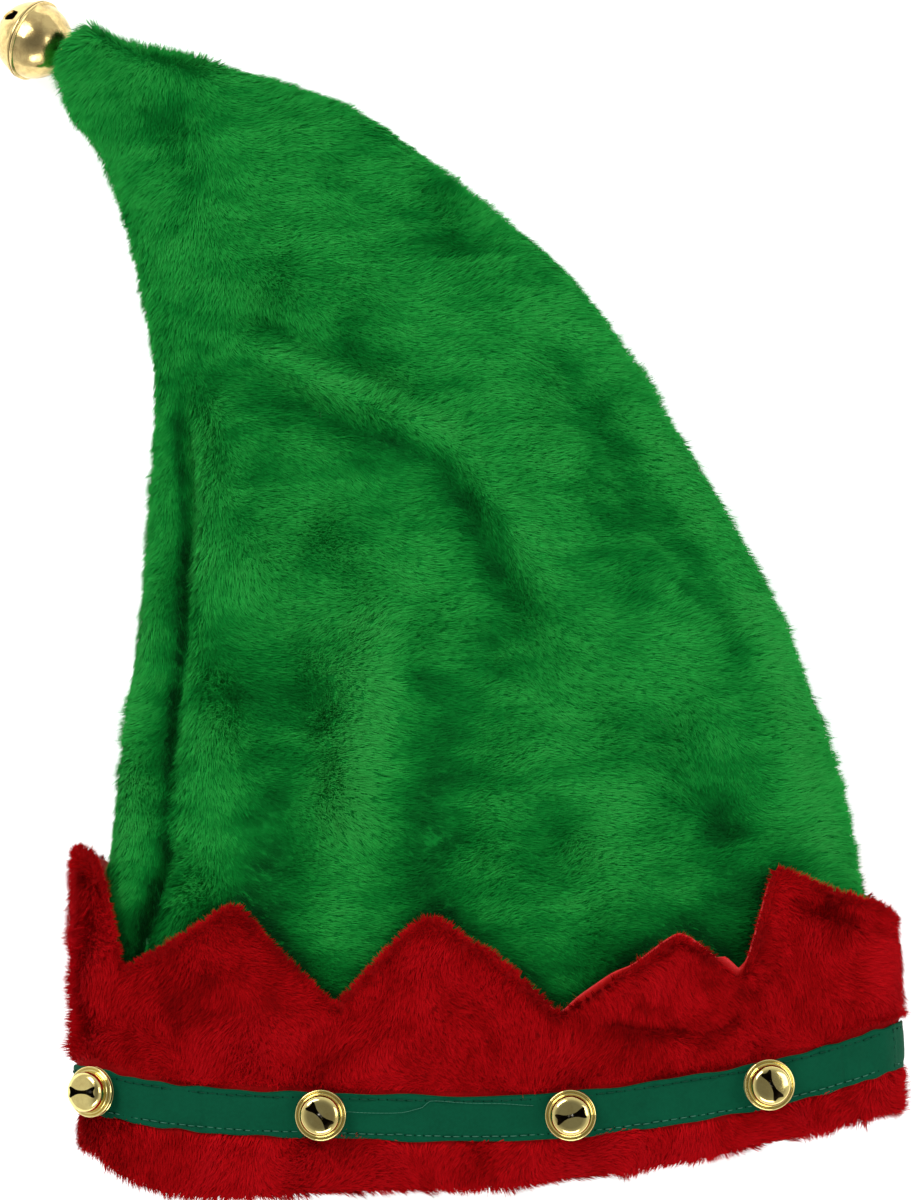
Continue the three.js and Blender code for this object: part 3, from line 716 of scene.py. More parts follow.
# %% Woven finishes
def woven_finish(name, colour, across, along, depth, **sockets):
    """A plain woven cloth with threads that run along its pattern."""
    finish, tree, shader = new_finish(name, **sockets)
    threads = placed_group(tree, weave, Across=across, Along=along)
    dark = tuple(c * 0.55 for c in colour[:3]) + (1,)
    tree.links.new(
        blend_colours(tree, threads.outputs["Shade"], dark, colour), shader.inputs["Base Color"]
    )
    bumped(tree, shader, threads.outputs["Height"], 0.5, depth)
    return finish


ribbon_finish = woven_finish(
    "ribbon_cloth", (0.0012, 0.068, 0.031, 1), 3.6, 2.4, 0.00012,
    Roughness=0.7, Specular_IOR_Level=0.05,
)
satin_finish = woven_finish(
    "satin_cloth", (0.6, 0.008, 0.008, 1), 4.5, 4.5, 0.00005,
    Roughness=0.42, Specular_IOR_Level=0.25,
)
backing_finish = woven_finish(
    "knit_backing", (0.03, 0.2, 0.06, 1), 1.2, 1.0, 0.0004,
    Roughness=0.95, Specular_IOR_Level=0.1,
)

# %% Metal and thread
def metal_finish(name, bright, worn, scale, clean, dull, dents=None):
    """A handled metal. Its dents are a scale, a detail, a strength and a depth."""
    finish, tree, shader = new_finish(name, Metallic=1.0)
    smear = placed_group(tree, smudges, Scale=scale, Clean=clean, Dull=dull)
    tree.links.new(blend_colours(tree, smear.outputs["Mask"], bright, worn), shader.inputs["Base Color"])
    tree.links.new(smear.outputs["Roughness"], shader.inputs["Roughness"])
    if dents:
        bumped(tree, shader, noise(tree, *dents[:2]), *dents[2:])
    return finish


def mottled_finish(name, first, second, scale, detail, **sockets):
    """A finish whose colour wanders between two."""
    finish, tree, shader = new_finish(name, **sockets)
    tree.links.new(blend_colours(tree, noise(tree, scale, detail), first, second), shader.inputs["Base Color"])
    return finish


brass_finish = metal_finish(
    "brass", (0.8, 0.66, 0.25, 1), (0.58, 0.44, 0.15, 1), 120.0, 0.09, 0.22, (260.0, 2.0, 0.12, 0.0004)
)
aged_brass_finish = metal_finish(
    "aged_brass", (0.72, 0.55, 0.23, 1), (0.36, 0.24, 0.09, 1), 170.0, 0.14, 0.34, (220.0, 3.0, 0.2, 0.0005)
)
pellet_finish = metal_finish("pellet", (0.2, 0.19, 0.17, 1), (0.07, 0.055, 0.04, 1), 400.0, 0.3, 0.55)
tarnish_finish = mottled_finish(
    "tarnish", (0.13, 0.085, 0.03, 1), (0.03, 0.02, 0.008, 1), 500.0, 3.0, Metallic=0.7, Roughness=0.6
)
# Dark dots at the ends of the stitches stand for the needle holes: painted shade of the holes.
hole_shade_finish = mottled_finish(
    "needle_hole_shade", (0.0006, 0.012, 0.007, 1), (0.002, 0.03, 0.016, 1), 2000.0, 3.0,
    Roughness=1.0, Specular_IOR_Level=0.0,
)
pale_thread, dark_thread = (
    mottled_finish(
        name, (*(c * 0.5 for c in colour), 1), (*colour, 1), 3000.0, 2.0,
        Roughness=0.6, Specular_IOR_Level=0.15,
    )
    for name, colour in (("pale_thread", (0.05, 0.2, 0.13)), ("dark_thread", (0.001, 0.06, 0.03)))
)
print("finishes", len(bpy.data.materials))

# %% [markdown]
# ## Crown and cuff cloth
#
# The cloth under the pile is built as closed walls: three millimetres of plush for the crown, the
# same for the cuff, and one millimetre of satin behind the cuff. The cuff's zigzag could be cut from
# a wider strip, but letting each column of the grid end at the edge's own height gives clean, soft
# points without any cutting.

# %% Crown wall
crown_normal = grid_normals(crown_outside)
crown_normal[-2:] = crown_normal[-3]
crown_inside = (crown_outside - crown_normal * crown_wall)[::-1]
crown_inside[0] = crown_inside[0].mean(0)
front_rings, back_rings = thinned(crown_outside, 2), thinned(crown_inside, 5)
crown = wall("crown_cloth", np.concatenate((front_rings, back_rings)), green_ground, len(front_rings) - 1)
crown.data.materials.append(backing_finish)
inner_from = (len(front_rings) - 1) * crown_columns
wears = np.zeros(len(crown.data.polygons), np.int32)
wears[inner_from:] = 1
crown.data.polygons.foreach_set("material_index", wears)
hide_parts("crown")

# %% Edge of the cuff
cuff_edge = np.array(
    [
        # turn, height, stand, bend
        (0, 0.62, 1.0, 0), (27, 0.75, 0.85, 0), (43.5, 0.89, 0.6, 0),
        (53.4, 0.55, 0.5, 20), (64, 0.8, 0.6, 60), (82.3, 0.545, 0.2, 20), (94.3, 0.93, 0.15, 0),
        (107.5, 0.607, 0.1, 0), (126, 0.97, 0.15, 0), (156.5, 0.65, 0.4, 0),
        (168, 0.98, 1.05, 0), (198, 0.97, 1.1, 0), (225, 0.63, 0.2, 0),
        (248, 0.94, 0.1, 0), (264, 0.63, 0.1, 0), (275, 0.94, 0.1, 0), (292, 0.63, 0.1, 0),
        (315, 0.94, 0.2, 0), (360, 0.62, 1.0, 0),
    ]
)
band_path = np.array(
    [(0, 0.215), (35, 0.188), (50, 0.186), (82, 0.207), (108, 0.254), (136, 0.285), (150, 0.264),
     (180, 0.165), (270, 0.2), (360, 0.215)]
)
bend_start = 0.66


def around(rows, column, turn):
    """A column of a table that runs round the hat by degrees."""
    return np.interp(np.degrees(turn) % 360, rows[:, 0], rows[:, column])


def softened(rows, column, spread):
    """The same column with its corners softened, at every quarter of a degree."""
    fine = np.arange(0, 360, 0.25)
    values = np.interp(fine, rows[:, 0], rows[:, column])
    reach = np.arange(-40, 41)
    weights = np.exp(-((reach * 0.25 / spread) ** 2) / 2)
    padded = np.concatenate((values[-40:], values, values[:40]))
    return fine, np.convolve(padded, weights / weights.sum(), "valid"), values


fine_turns, round_edge, sharp_edge = softened(cuff_edge, 1, 1.7)
soft_edge = np.minimum(round_edge, sharp_edge) * cuff_height
fine_turns, soft_band, _ = softened(band_path, 1, 5.0)


def edge_up(turn):
    """Height of the cuff's edge above the hem: its peaks are rounded, its valleys are not."""
    return np.interp(np.degrees(turn) % 360, fine_turns, soft_edge, period=360)


def band_up(turn):
    """Height of the ribbon's middle above the hem."""
    return np.interp(np.degrees(turn) % 360, fine_turns, soft_band, period=360) * cuff_height


# %% Points of the cuff
def cuff_base(up, turn):
    """The side of the cuff that faces the crown, at a height above the hem."""
    top = around(cuff_edge, 1, turn) * cuff_height
    bend = np.radians(around(cuff_edge, 3, turn))
    bend_from = top * bend_start
    past = np.maximum(0, up - bend_from)
    angle = np.maximum(bend * past / (top - bend_from), 0.001)
    along = up - past + past * np.sin(angle) / angle
    curl = past * (1 - np.cos(angle)) / angle
    flare = around(cuff_edge, 2, turn) * cuff_flare * np.maximum(0, up / top) ** 1.3
    off = seat_gap + pile_room * smooth(up, 0, cuff_height * 0.2) + flare + curl
    place = along / cuff_section
    return crown_point(place, turn) + normal_of(crown_point, place, turn, 0.05) * off[..., None]


cuff_creases = [
    (((-104, -144), (-79, -147), (-54, -143)), 5.0, -1.8),
    (((50, -147), (66, -152), (80, -153), (90, -155), (99, -151), (104, -144)), 2.8, -3.2),
    (((64, -140), (74, -144), (80, -148)), 2.6, -1.6),
    (((69, -171), (87, -167), (105, -164)), 3.0, -2.0),
    (((118, -105), (127, -108), (138, -111), (148, -115), (158, -122)), 3.2, -3.0),
    (((-19, -129), (-3, -148), (8, -161)), 8.0, 1.4),
    (((-50, -154), (-41, -165)), 7.0, -1.2),
    (((103, -133), (104, -142), (101, -152)), 3.0, -2.4),
]
# Lines of painted shade (negative) and painted light (positive) on the cuff's pile: corners seen from above,
# width, strength.
cuff_shade_strokes = [
    (((-108, -140), (-82, -139), (-56, -140)), 10, -0.2),
    (((-131, -108), (-134, -140), (-134, -168)), 9, 0.3),
    (((-104, -158), (-60, -160)), 10, 0.1),
    (((-45, -157), (-41, -166)), 10, -0.16),
    (((-5, -114), (-7, -136)), 12, 0.14),
    (((20, -138), (29, -150)), 11, -0.12),
    (((60, -152), (88, -155)), 5, -0.16),
    (((124, -108), (152, -118)), 6, -0.08),
    (((116, -147), (140, -147)), 12, -0.1),
    (((158, -120), (163, -150)), 9, 0.22),
    (((-104, -202), (-10, -206)), 9, 0.26),
    (((10, -205), (90, -196), (150, -184)), 7, 0.2),
]
cuff_rows, cuff_columns = 84, 450
cuff_shares = np.linspace(0, 1, cuff_rows)
cuff_turns = np.linspace(0, 2 * math.pi, cuff_columns, endpoint=False)
share, turn = np.meshgrid(cuff_shares, cuff_turns, indexing="ij")
cuff_up = share * edge_up(turn)
cuff_ground = cuff_base(cuff_up, turn)
cuff_out = grid_normals(cuff_ground)
flat = cuff_ground[..., :2].reshape(-1, 2)
dent = creases_at(flat, cuff_creases).reshape(share.shape) * smooth(cuff_out[..., 2], 0.1, 0.5)
dent += waves(cuff_ground, 34, 8) * 0.45 * smooth(share, 0.1, 0.4)
cuff_rise = np.linalg.norm(np.diff(cuff_ground, axis=0), axis=2).sum(0)
print("cuff rises", cuff_rise.min().round(1), "to", cuff_rise.max().round(1), "mm")


# %% Walls of the cuff and its lining
def cuff_rings(inside, outside, bulge, dented, standing):
    """Rings of a wall on the cuff: up its outside, over a rounded edge, down its inside."""
    thickness = outside - inside
    out = outside + dent * dented
    outer = cuff_ground + cuff_out * out[..., None]
    inner = cuff_ground + cuff_out * inside
    upward = unit(cuff_ground[-1] - cuff_ground[-3])
    downward = unit(cuff_ground[0] - cuff_ground[2])
    edge, hem = [], []
    for angle in np.radians((40, 75, 105, 140)):
        side = inside + thickness * (1 + math.cos(angle)) / 2
        lift = bulge * math.sin(angle)
        shown = standing[:, None] * math.sin(angle)
        edge.append(cuff_ground[-1] + cuff_out[-1] * side + upward * (lift + shown))
        hem.append(cuff_ground[0] + cuff_out[0] * side + downward * lift)
    return outer, np.array(edge), inner[::-1], np.array(hem[::-1])


cuff_sides = cuff_rings(cuff_inside, cuff_outside, 1.3, 1.0, np.zeros(cuff_columns))
outer, edge, inner, hem = cuff_sides
cuff = wall("cuff_cloth", np.concatenate((thinned(outer, 3), edge, thinned(inner, 6), hem)), red_ground)
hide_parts("cuff")
turn_degrees = np.degrees(cuff_turns)
beside_bent_peak = np.exp(-(((turn_degrees - 77.5) / 4.5) ** 4)) * 3.2
beside_bent_peak += np.exp(-(((turn_degrees - 54.6) / 2.4) ** 4)) * 4.6
lining_sides = cuff_rings(0.0, lining_wall, 0.4, 0.0, beside_bent_peak)
satin_rings = [thinned(side, 4) if len(side) > 4 else side for side in lining_sides]
lining = wall("cuff_satin", np.concatenate(satin_rings), satin_finish)
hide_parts("cuff_lining")

# %% [markdown]
# ## The pile
#
# Plush is thousands of short strands that lean one way and stick together in little tufts. Hair
# would be the usual choice, but strands of hair aren't a surface that every program can read. So
# each strand is one long thin triangle, planted in the cloth with its tuft, leaning with the nap and
# drawn towards the tuft's tip. Its corners carry how far along the strand they are, a shade of its
# own, and painted shade and light: darker in the folds' valleys, along the creases and near the
# cuff's edge, lighter on ridges and at the sides, with a slow random tone. Its shading follows the
# cloth, so that the whole looks soft.


# %% Grow a pile
fibres_per_tuft, most_strands = 8, 190000
golden_angle = 2.39996
planted_deep, drawn_together = 0.4, 0.12


def grow_pile(name, grid, tufts_per_mm2, nap, shade_and_brush, length, width, finish, seed):
    """Tufts of strands on a grid that closes round its columns, in as many pieces as needed."""
    rng = np.random.default_rng(seed)
    rows, columns = grid.shape[:2]
    normal = grid_normals(grid)
    corner = [grid[:-1], np.roll(grid, -1, 1)[:-1], np.roll(grid, -1, 1)[1:], grid[1:]]
    area = np.linalg.norm(np.cross(corner[2] - corner[0], corner[3] - corner[1]), axis=-1) / 2
    chance = (area * tufts_per_mm2[:-1]).ravel()
    marks = np.floor(np.cumsum(chance) + rng.uniform())
    count = np.diff(marks, prepend=0).astype(int)
    cell = np.repeat(np.arange(len(chance)), count)
    row, column = cell // columns, cell % columns
    beside = (column + 1) % columns
    u, v = rng.uniform(size=(2, len(cell)))

    def between(values):
        shares = [(1 - u) * (1 - v), u * (1 - v), u * v, (1 - u) * v]
        reads = [values[row, column], values[row, beside], values[row + 1, beside], values[row + 1, column]]
        if values.ndim == 3:
            shares = [s[:, None] for s in shares]
        return sum(s * r for s, r in zip(shares, reads))

    centre, out, lean = between(grid), between(normal), between(nap)
    out = unit(out)
    tall, strand_shade_and_brush, dense = between(length), between(shade_and_brush), between(tufts_per_mm2)
    lean = lean - out * (lean * out).sum(1, keepdims=True)
    lean *= rng.uniform(0.75, 1.25, (len(cell), 1))
    side = unit(np.cross(out, rng.normal(size=out.shape)))
    other = np.cross(out, side)
    spread = 0.8 / np.sqrt(np.maximum(dense, 0.2))
    wide = width * np.sqrt(0.6 / np.maximum(dense, 0.1))

    j = np.arange(fibres_per_tuft)
    angle = j * golden_angle + rng.uniform(0, 2 * math.pi, (len(cell), 1))
    radius = spread[:, None] * np.sqrt((j + 0.5) / fibres_per_tuft) * rng.uniform(0.8, 1.2, angle.shape)
    offset = side[:, None] * (np.cos(angle) * radius)[..., None]
    offset = offset + other[:, None] * (np.sin(angle) * radius)[..., None]
    shake = rng.normal(size=offset.shape) * 0.22
    way = unit(out[:, None] + lean[:, None] + shake)
    long = tall[:, None] * rng.uniform(0.65, 1.15, angle.shape) * rng.uniform(0.85, 1.12, (len(cell), 1))
    root = centre[:, None] + offset - out[:, None] * planted_deep
    tip = root + way * long[..., None] - offset * drawn_together
    twist = rng.uniform(-0.7, 0.7, angle.shape)[..., None]
    flat_side = unit(np.cross(way, out[:, None] + 0.01))
    flat_side = flat_side * np.cos(twist) + np.cross(way, flat_side) * np.sin(twist)
    half = (wide[:, None] * rng.uniform(0.7, 1.3, angle.shape) / 2)[..., None]
    points = np.stack((root - flat_side * half, root + flat_side * half, tip), 2)
    points[..., 2] = np.maximum(points[..., 2], 0.02 + rng.uniform(0, 0.25, points.shape[:-1]))
    facing = out[:, None] - lean[:, None] * 0.3 + rng.normal(size=offset.shape) * 0.16
    facing[..., 2] += 0.5
    wrong_side = (np.cross(flat_side, way) * facing).sum(-1) < 0
    points[wrong_side] = points[wrong_side][:, [1, 0, 2]]
    turned = unit(np.stack((facing, facing, facing + way * 0.5), 2))
    tone = np.empty((*points.shape[:-1], 4))
    tone[..., 0] = (0.0, 0.0, 1.0)
    own_tone = 0.6 * rng.uniform(size=(len(cell), 1)) + 0.4 * rng.uniform(size=angle.shape)
    tone[..., 1] = own_tone[..., None]
    # The third channel carries painted shade and light, with a slow random tone.
    tone[..., 2] = strand_shade_and_brush[:, None, None]
    tone[..., 3] = 1.0

    pieces = math.ceil(len(cell) * fibres_per_tuft / most_strands)
    for number, part in enumerate(np.array_split(np.arange(len(cell)), pieces), 1):
        corners = points[part].reshape(-1, 3)
        piece = mesh_of(f"{name}_{number}", corners, np.arange(len(corners)).reshape(-1, 3), finish)
        strands = piece.data.attributes.new("pile", "FLOAT_COLOR", "POINT")
        strands.data.foreach_set("color", tone[part].astype(np.float32).ravel())
        piece.data.normals_split_custom_set_from_vertices(turned[part].reshape(-1, 3).astype(np.float32))
        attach(piece, "root")
    print(name, len(cell), "tufts,", len(cell) * fibres_per_tuft, "strands in", pieces, "pieces")


def nap_field(grid, main, swing, length, seed, strength):
    """Directions that the pile leans in, seen from above, in degrees from +X, and its lean."""
    way = np.radians(main + waves(grid, length, seed) * swing)
    lean = strength * (1 + 0.35 * waves(grid, length * 0.7, seed + 1))
    return np.stack((np.cos(way) * lean, np.sin(way) * lean, np.zeros_like(lean)), -1)


# %% Crown pile
x = crown_outside[..., 0] + hat_origin[0]
place, turn = np.meshgrid(crown_places, crown_turns, indexing="ij")
front = smooth(np.sin(turn), -0.25, 0.05)
covered_by_cuff = cuff_base(edge_up(crown_turns) - 6, crown_turns)[:, 1]
above_cuff = crown_outside[..., 1] - covered_by_cuff
cuff_away = smooth(around(cuff_edge, 2, crown_turns), 0.3, 0.9)
tufts = (0.18 + 0.42 * front) * smooth(above_cuff + 16 * cuff_away, -1, 1)
tufts[-1] = tufts[-2]
main = -10 - 100 * (1 - smooth(x, -108, -55))
crown_nap = nap_field(crown_outside, main, 26, 45, 21, 1.7)
tip_share = smooth(place, last_cut - 1.6, last_cut + 0.3)
crown_nap[..., 0] -= tip_share * 1.5
flat = crown_outside[..., :2].reshape(-1, 2)
# Painted shade and light for the pile's third channel: darker in the folds' valleys and along the creases, lighter
# on ridges, darker or lighter along the listed lines, with slow random waves as a tone.
raised = (large_folds(flat) * 0.025 + creases_at(flat, crown_creases) * 0.07).reshape(place.shape)
stroked = crown_outside * np.array((0.4, 1.0, 1.0))
shade_strokes = creases_at(flat, crown_shade_strokes).reshape(place.shape)
crown_shade_and_brush = 0.52 + (raised + shade_strokes * 1.25) * front + 0.08 * waves(crown_outside, 60, 31)
crown_shade_and_brush += 0.085 * waves(stroked, 16, 32) + 0.1 * waves(stroked, 7, 33)
# Painted shadow of the cuff on the crown's pile just above its edge.
shaded_by_cuff = 0.2 * np.exp(-((np.maximum(above_cuff - 5, 0) / 7) ** 2))
shaded_by_cuff += 0.25 * np.exp(-((np.maximum(above_cuff - 5, 0) / 32) ** 2))
shaded_by_cuff += 0.4 * np.exp(-((np.maximum(above_cuff - 9.5, 0) / 3.5) ** 2))
crown_shade_and_brush -= shaded_by_cuff * front * (1 - 0.6 * cuff_away)
# Painted light: the pile on the crown's sides is made lighter.
crown_side = 1 - np.clip(grid_normals(crown_outside)[..., 2], 0, 1)
crown_shade_and_brush += 0.3 * smooth(crown_side, 0.35, 1.0) * smooth(place, 1.6, 2.2)
crown_length = 4.0 + 2.6 * tip_share
crown_length += crown_side * (0.5 + 1.3 * waves(crown_outside, 7, 34)) * (1 - tip_share)
grow_pile(
    "crown_pile", crown_outside, tufts, crown_nap, np.clip(crown_shade_and_brush, -0.32, 1.2), crown_length,
    0.46, green_pile, 5,
)

# %% Cuff pile
outer, edge, inner, hem = cuff_sides
cuff_pile_grid = np.concatenate((hem, outer, edge[:3]))
steps = np.concatenate((np.zeros(len(hem)), cuff_shares, np.ones(3)))
share, turn = np.meshgrid(steps, cuff_turns, indexing="ij")
up = share * edge_up(turn)
beside_band = np.abs(up - band_up(turn))
clear = smooth(beside_band, band_width / 2 + 0.6, band_width / 2 + 1.5)
front = smooth(np.sin(turn), -0.25, 0.05)
tufts = (0.2 + 0.48 * front) * clear
cuff_nap = nap_field(cuff_pile_grid, -60.0, 55, 42, 41, 1.5)
above_band = up - band_up(turn)
away = np.exp(-(((above_band - band_width / 2) / 3.5) ** 2)) * (above_band > 0)
upward = unit(np.gradient(cuff_pile_grid, axis=0))
fringe = smooth(share, 0.93, 1.0) * np.clip(1 - beside_bent_peak / 2, 0, 1)
pulled = 1.6 * away + 0.8 * fringe
cuff_nap = cuff_nap * (1 - 0.6 * np.clip(away + fringe, 0, 1))[..., None] + upward * pulled[..., None]
flat = cuff_pile_grid[..., :2].reshape(-1, 2)
# Painted shade in the cuff's creases and painted shade and light along the listed lines, on the pile's third
# channel, with slow random waves as a tone.
raised = creases_at(flat, cuff_creases) * 0.1 + creases_at(flat, cuff_shade_strokes)
cuff_shade_and_brush = 0.54 + raised.reshape(up.shape) * front + 0.1 * waves(cuff_pile_grid, 40, 51)
cuff_shade_and_brush += 0.1 * waves(cuff_pile_grid, 13, 52) + 0.07 * waves(cuff_pile_grid, 6, 53)
# Painted light: the pile on the cuff's sides is made lighter; painted shade: the fringe at its edge is made
# darker.
cuff_side = 1 - np.clip(grid_normals(cuff_pile_grid)[..., 2], 0, 1)
cuff_shade_and_brush += 0.25 * smooth(cuff_side, 0.35, 1.0) * front - 0.3 * fringe
cuff_length = 4.2 - 0.8 * away - 1.4 * fringe
cuff_length += cuff_side * (0.4 + 1.2 * waves(cuff_pile_grid, 7, 55)) * (1 - fringe)
grow_pile(
    "cuff_pile", cuff_pile_grid, tufts, cuff_nap, np.clip(cuff_shade_and_brush, -0.3, 1.15), cuff_length,
    0.48, red_pile, 6,
)

# %% [markdown]
# ## The ribbon and its stitches
#
# A woven ribbon is sewn over the cuff with two rows of running stitch. It is a thin closed strip on
# the same surface as the cuff, a little puckered between the stitches. The stitches are too small
# for a solid, but they catch the light, so each is a short bent rod of thread.


# %% Ribbon
def on_cuff(up, turn, outward):
    """Points at a height on the cuff, moved outward, with the outward directions."""
    place = cuff_base(up, turn)
    out = normal_of(cuff_base, up, turn, 1.5)
    return place + out * np.asarray(outward)[..., None], out


half_band = band_width / 2
profile = [(-half_band + 0.25, 0.15), (-half_band, 0.5), (-half_band + 0.25, 0.9)]
profile += [(s, 1.0) for s in np.linspace(-half_band + 0.9, half_band - 0.9, 13)]
profile += [(half_band - 0.25, 0.9), (half_band, 0.5), (half_band - 0.25, 0.15), (0.0, 0.0)]
side, raised = (np.array(v)[:, None] for v in zip(*profile))
ribbon_turns = np.linspace(0, 2 * math.pi, 700, endpoint=False)[None, :]
wander = 0.25 * np.sin(ribbon_turns * 23) + 0.2 * np.sin(ribbon_turns * 41 + 1)
up = band_up(ribbon_turns) + side + wander * np.sign(side) * (np.abs(side) > half_band - 1)
outward = band_inside + band_wall * raised * np.ones_like(ribbon_turns)
ribbon_grid, ribbon_out = on_cuff(up, ribbon_turns * np.ones_like(up), outward)
top_side = smooth(raised, 0.8, 0.95)
degrees = np.degrees(ribbon_turns)
pucker = waves(ribbon_grid * np.array((1.0, 0.3, 0.3)), 8, 61) * 0.2 + waves(ribbon_grid, 26, 62) * 0.25
for gather_at in (30, 70, 93, 132):
    pucker -= 0.5 * np.exp(-(((degrees - gather_at) / 0.7) ** 2))
folded_end = smooth(degrees, 8.2, 8.5) * (1 - smooth(degrees, 14, 19))
pucker += 0.5 * folded_end
pressed = np.exp(-(((np.abs(side) - (half_band - 1.8)) / 0.6) ** 2)) * 0.3
ribbon_grid = ribbon_grid + ribbon_out * ((pucker - pressed) * top_side)[..., None]
ribbon = wall("ribbon", ribbon_grid, ribbon_finish)
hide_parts("band")


# %% Running stitches
def rods(name, bends, thick, finish):
    """Short rods of thread as one piece. Each is bent, with a start, a middle and an end."""
    sides, stations = 6, 5
    starts, middles, ends = bends[:, 0], bends[:, 1], bends[:, 2]
    t = np.linspace(0, 1, stations)[None, :, None]
    line = (1 - t) ** 2 * starts[:, None] + 2 * t * (1 - t) * middles[:, None] + t**2 * ends[:, None]
    lift = unit(middles - (starts + ends) / 2)
    beside = np.cross(unit(ends - starts), lift)
    angle = np.arange(sides) * 2 * math.pi / sides
    ring = np.cos(angle)[:, None] * lift[:, None] + np.sin(angle)[:, None] * beside[:, None]
    taper = np.array((0.45, 0.95, 1.0, 0.95, 0.45))[None, :, None, None]
    points = line[:, :, None] + ring[:, None] * taper * thick / 2
    first = np.arange(len(starts))[:, None, None] * sides * stations
    ring_at = first + np.arange(stations - 1)[None, :, None] * sides
    k = np.arange(sides)[None, None, :]
    after = (k + 1) % sides
    faces = np.stack((ring_at + k, ring_at + after, ring_at + sides + after, ring_at + sides + k), -1)
    piece = mesh_of(name, points.reshape(-1, 3), faces.reshape(-1, 4), finish)
    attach(piece, "root")
    print(name, len(starts), "stitches")


stitch_pitch, stitch_thick, hole_thick = 3.4, 0.36, 0.6


def stitch_row(name, offset, finish, seed):
    """A row of running stitches at an offset from the ribbon's middle."""
    fine = np.linspace(0, 2 * math.pi, 4000)
    line = on_cuff(band_up(fine) + offset, fine, np.full(fine.shape, band_outside))[0]
    lengths = np.concatenate(([0], np.cumsum(np.linalg.norm(np.diff(line, axis=0), axis=1))))
    rng = np.random.default_rng(seed)
    count = int(lengths[-1] / stitch_pitch)
    begin = (np.arange(count) + rng.uniform(-0.06, 0.06, count)) * stitch_pitch
    spans = begin[:, None] + np.array((0.0, 1.2, 2.4))
    turn = np.interp(spans, lengths, fine)
    wobble = offset + rng.normal(size=(count, 1)) * 0.08
    depth = band_outside + np.array((-0.32, 0.22, -0.32)) + np.zeros_like(spans)
    points = on_cuff(band_up(turn) + wobble, turn, depth)[0]
    rods(name, points, stitch_thick, finish)
    # Dark rods where the needle went through: painted shade of the needle holes.
    needle = begin[:, None] + np.array((2.45, 2.7, 2.95))
    turn = np.interp(needle, lengths, fine)
    depth = band_outside + np.array((-0.1, 0.06, -0.1)) + np.zeros_like(needle)
    points = on_cuff(band_up(turn) + wobble, turn, depth)[0]
    rods(name + "_holes", points, hole_thick, hole_shade_finish)


stitch_row("lower_stitches", -(half_band - 1.9), pale_thread, 71)
stitch_row("upper_stitches", half_band - 1.9, dark_thread, 72)

# %% Folded end and loose thread
across = np.linspace(-half_band + 1.0, half_band - 3.2, 5)
spans = across[:, None] + np.array((0.0, 1.1, 2.2))
turn = np.full(spans.shape, math.radians(10.0))
depth = band_outside + 0.5 + np.array((-0.3, 0.25, -0.3)) + np.zeros_like(spans)
points = on_cuff(band_up(turn) + spans, turn, depth)[0]
rods("end_stitches", points, stitch_thick, dark_thread)

trail = [(107.3, 1.6), (103, 1.2), (98.5, 1.5), (96, 3.6), (95, 6.4), (92, 5.6), (89, 5.2), (86, 3.8)]
trail_turns, trail_offsets = (np.array(v, float) for v in zip(*trail))
stations = np.linspace(0, len(trail) - 1, 57)
turn = np.radians(np.interp(stations, np.arange(len(trail)), trail_turns))
offset = np.interp(stations, np.arange(len(trail)), trail_offsets)
offset = np.convolve(np.pad(offset, 3, "edge"), np.ones(7) / 7, "valid")
points = on_cuff(band_up(turn) + offset, turn, np.full(turn.shape, band_outside + 0.45))[0]
middles = (points[:-1] + points[1:]) / 2 + np.array((0, 0, 0.02))
rods("loose_thread", np.stack((points[:-1], middles, points[1:]), 1), 0.22, pale_thread)

# %% [markdown]
# ## The bells on the ribbon
#
# Each is two stamped cups of thin brass that meet in a rolled rim, with a dog-bone slot in the
# flattened face. A cup is a turned shape, so its profile is drawn once and turned round the axis in
# many small steps. The slot is cut by a boolean with a block of the slot's outline, and the sheet's
# edge is left sharp there, as the stamped metal's is. Each bell takes its place and axis from its
# own solids in the frame.


# %% Turned and cut shapes
def turned_shape(name, profile, sides, finish, inside=()):
    """A shape of revolution round its own Z from a closed profile of (radius, height) in millimetres.

    The rows of the profile that are inside get the tarnished finish.
    """
    profile = np.array(profile, float)
    angle = np.arange(sides) * 2 * math.pi / sides
    radius, height = profile[:, 0][:, None], profile[:, 1][:, None]
    points = np.stack(
        (radius * np.cos(angle), radius * np.sin(angle), height + np.zeros_like(angle)[None]), -1
    )
    rows = len(profile)
    row, column = (a.ravel() for a in np.meshgrid(np.arange(rows - 1), np.arange(sides), indexing="ij"))
    beside = (column + 1) % sides
    faces = np.stack(
        (row * sides + column, (row + 1) * sides + column, (row + 1) * sides + beside, row * sides + beside), -1
    )
    mesh = bpy.data.meshes.new(name)
    mesh.from_pydata((points.reshape(-1, 3) * 0.001).tolist(), [], faces.tolist())
    shape = in_scene(name, mesh)
    mesh.materials.append(finish)
    mesh.materials.append(tarnish_finish)
    mesh.polygons.foreach_set("material_index", np.isin(row, list(inside)).astype(np.int32))
    merged = shape.modifiers.new("poles", "WELD")
    merged.merge_threshold = 0.00001
    return shape


def applied(shape):
    """The shape with its modifiers made real."""
    graph = bpy.context.evaluated_depsgraph_get()
    mesh = bpy.data.meshes.new_from_object(shape.evaluated_get(graph))
    shape.modifiers.clear()
    shape.data = mesh
    return shape


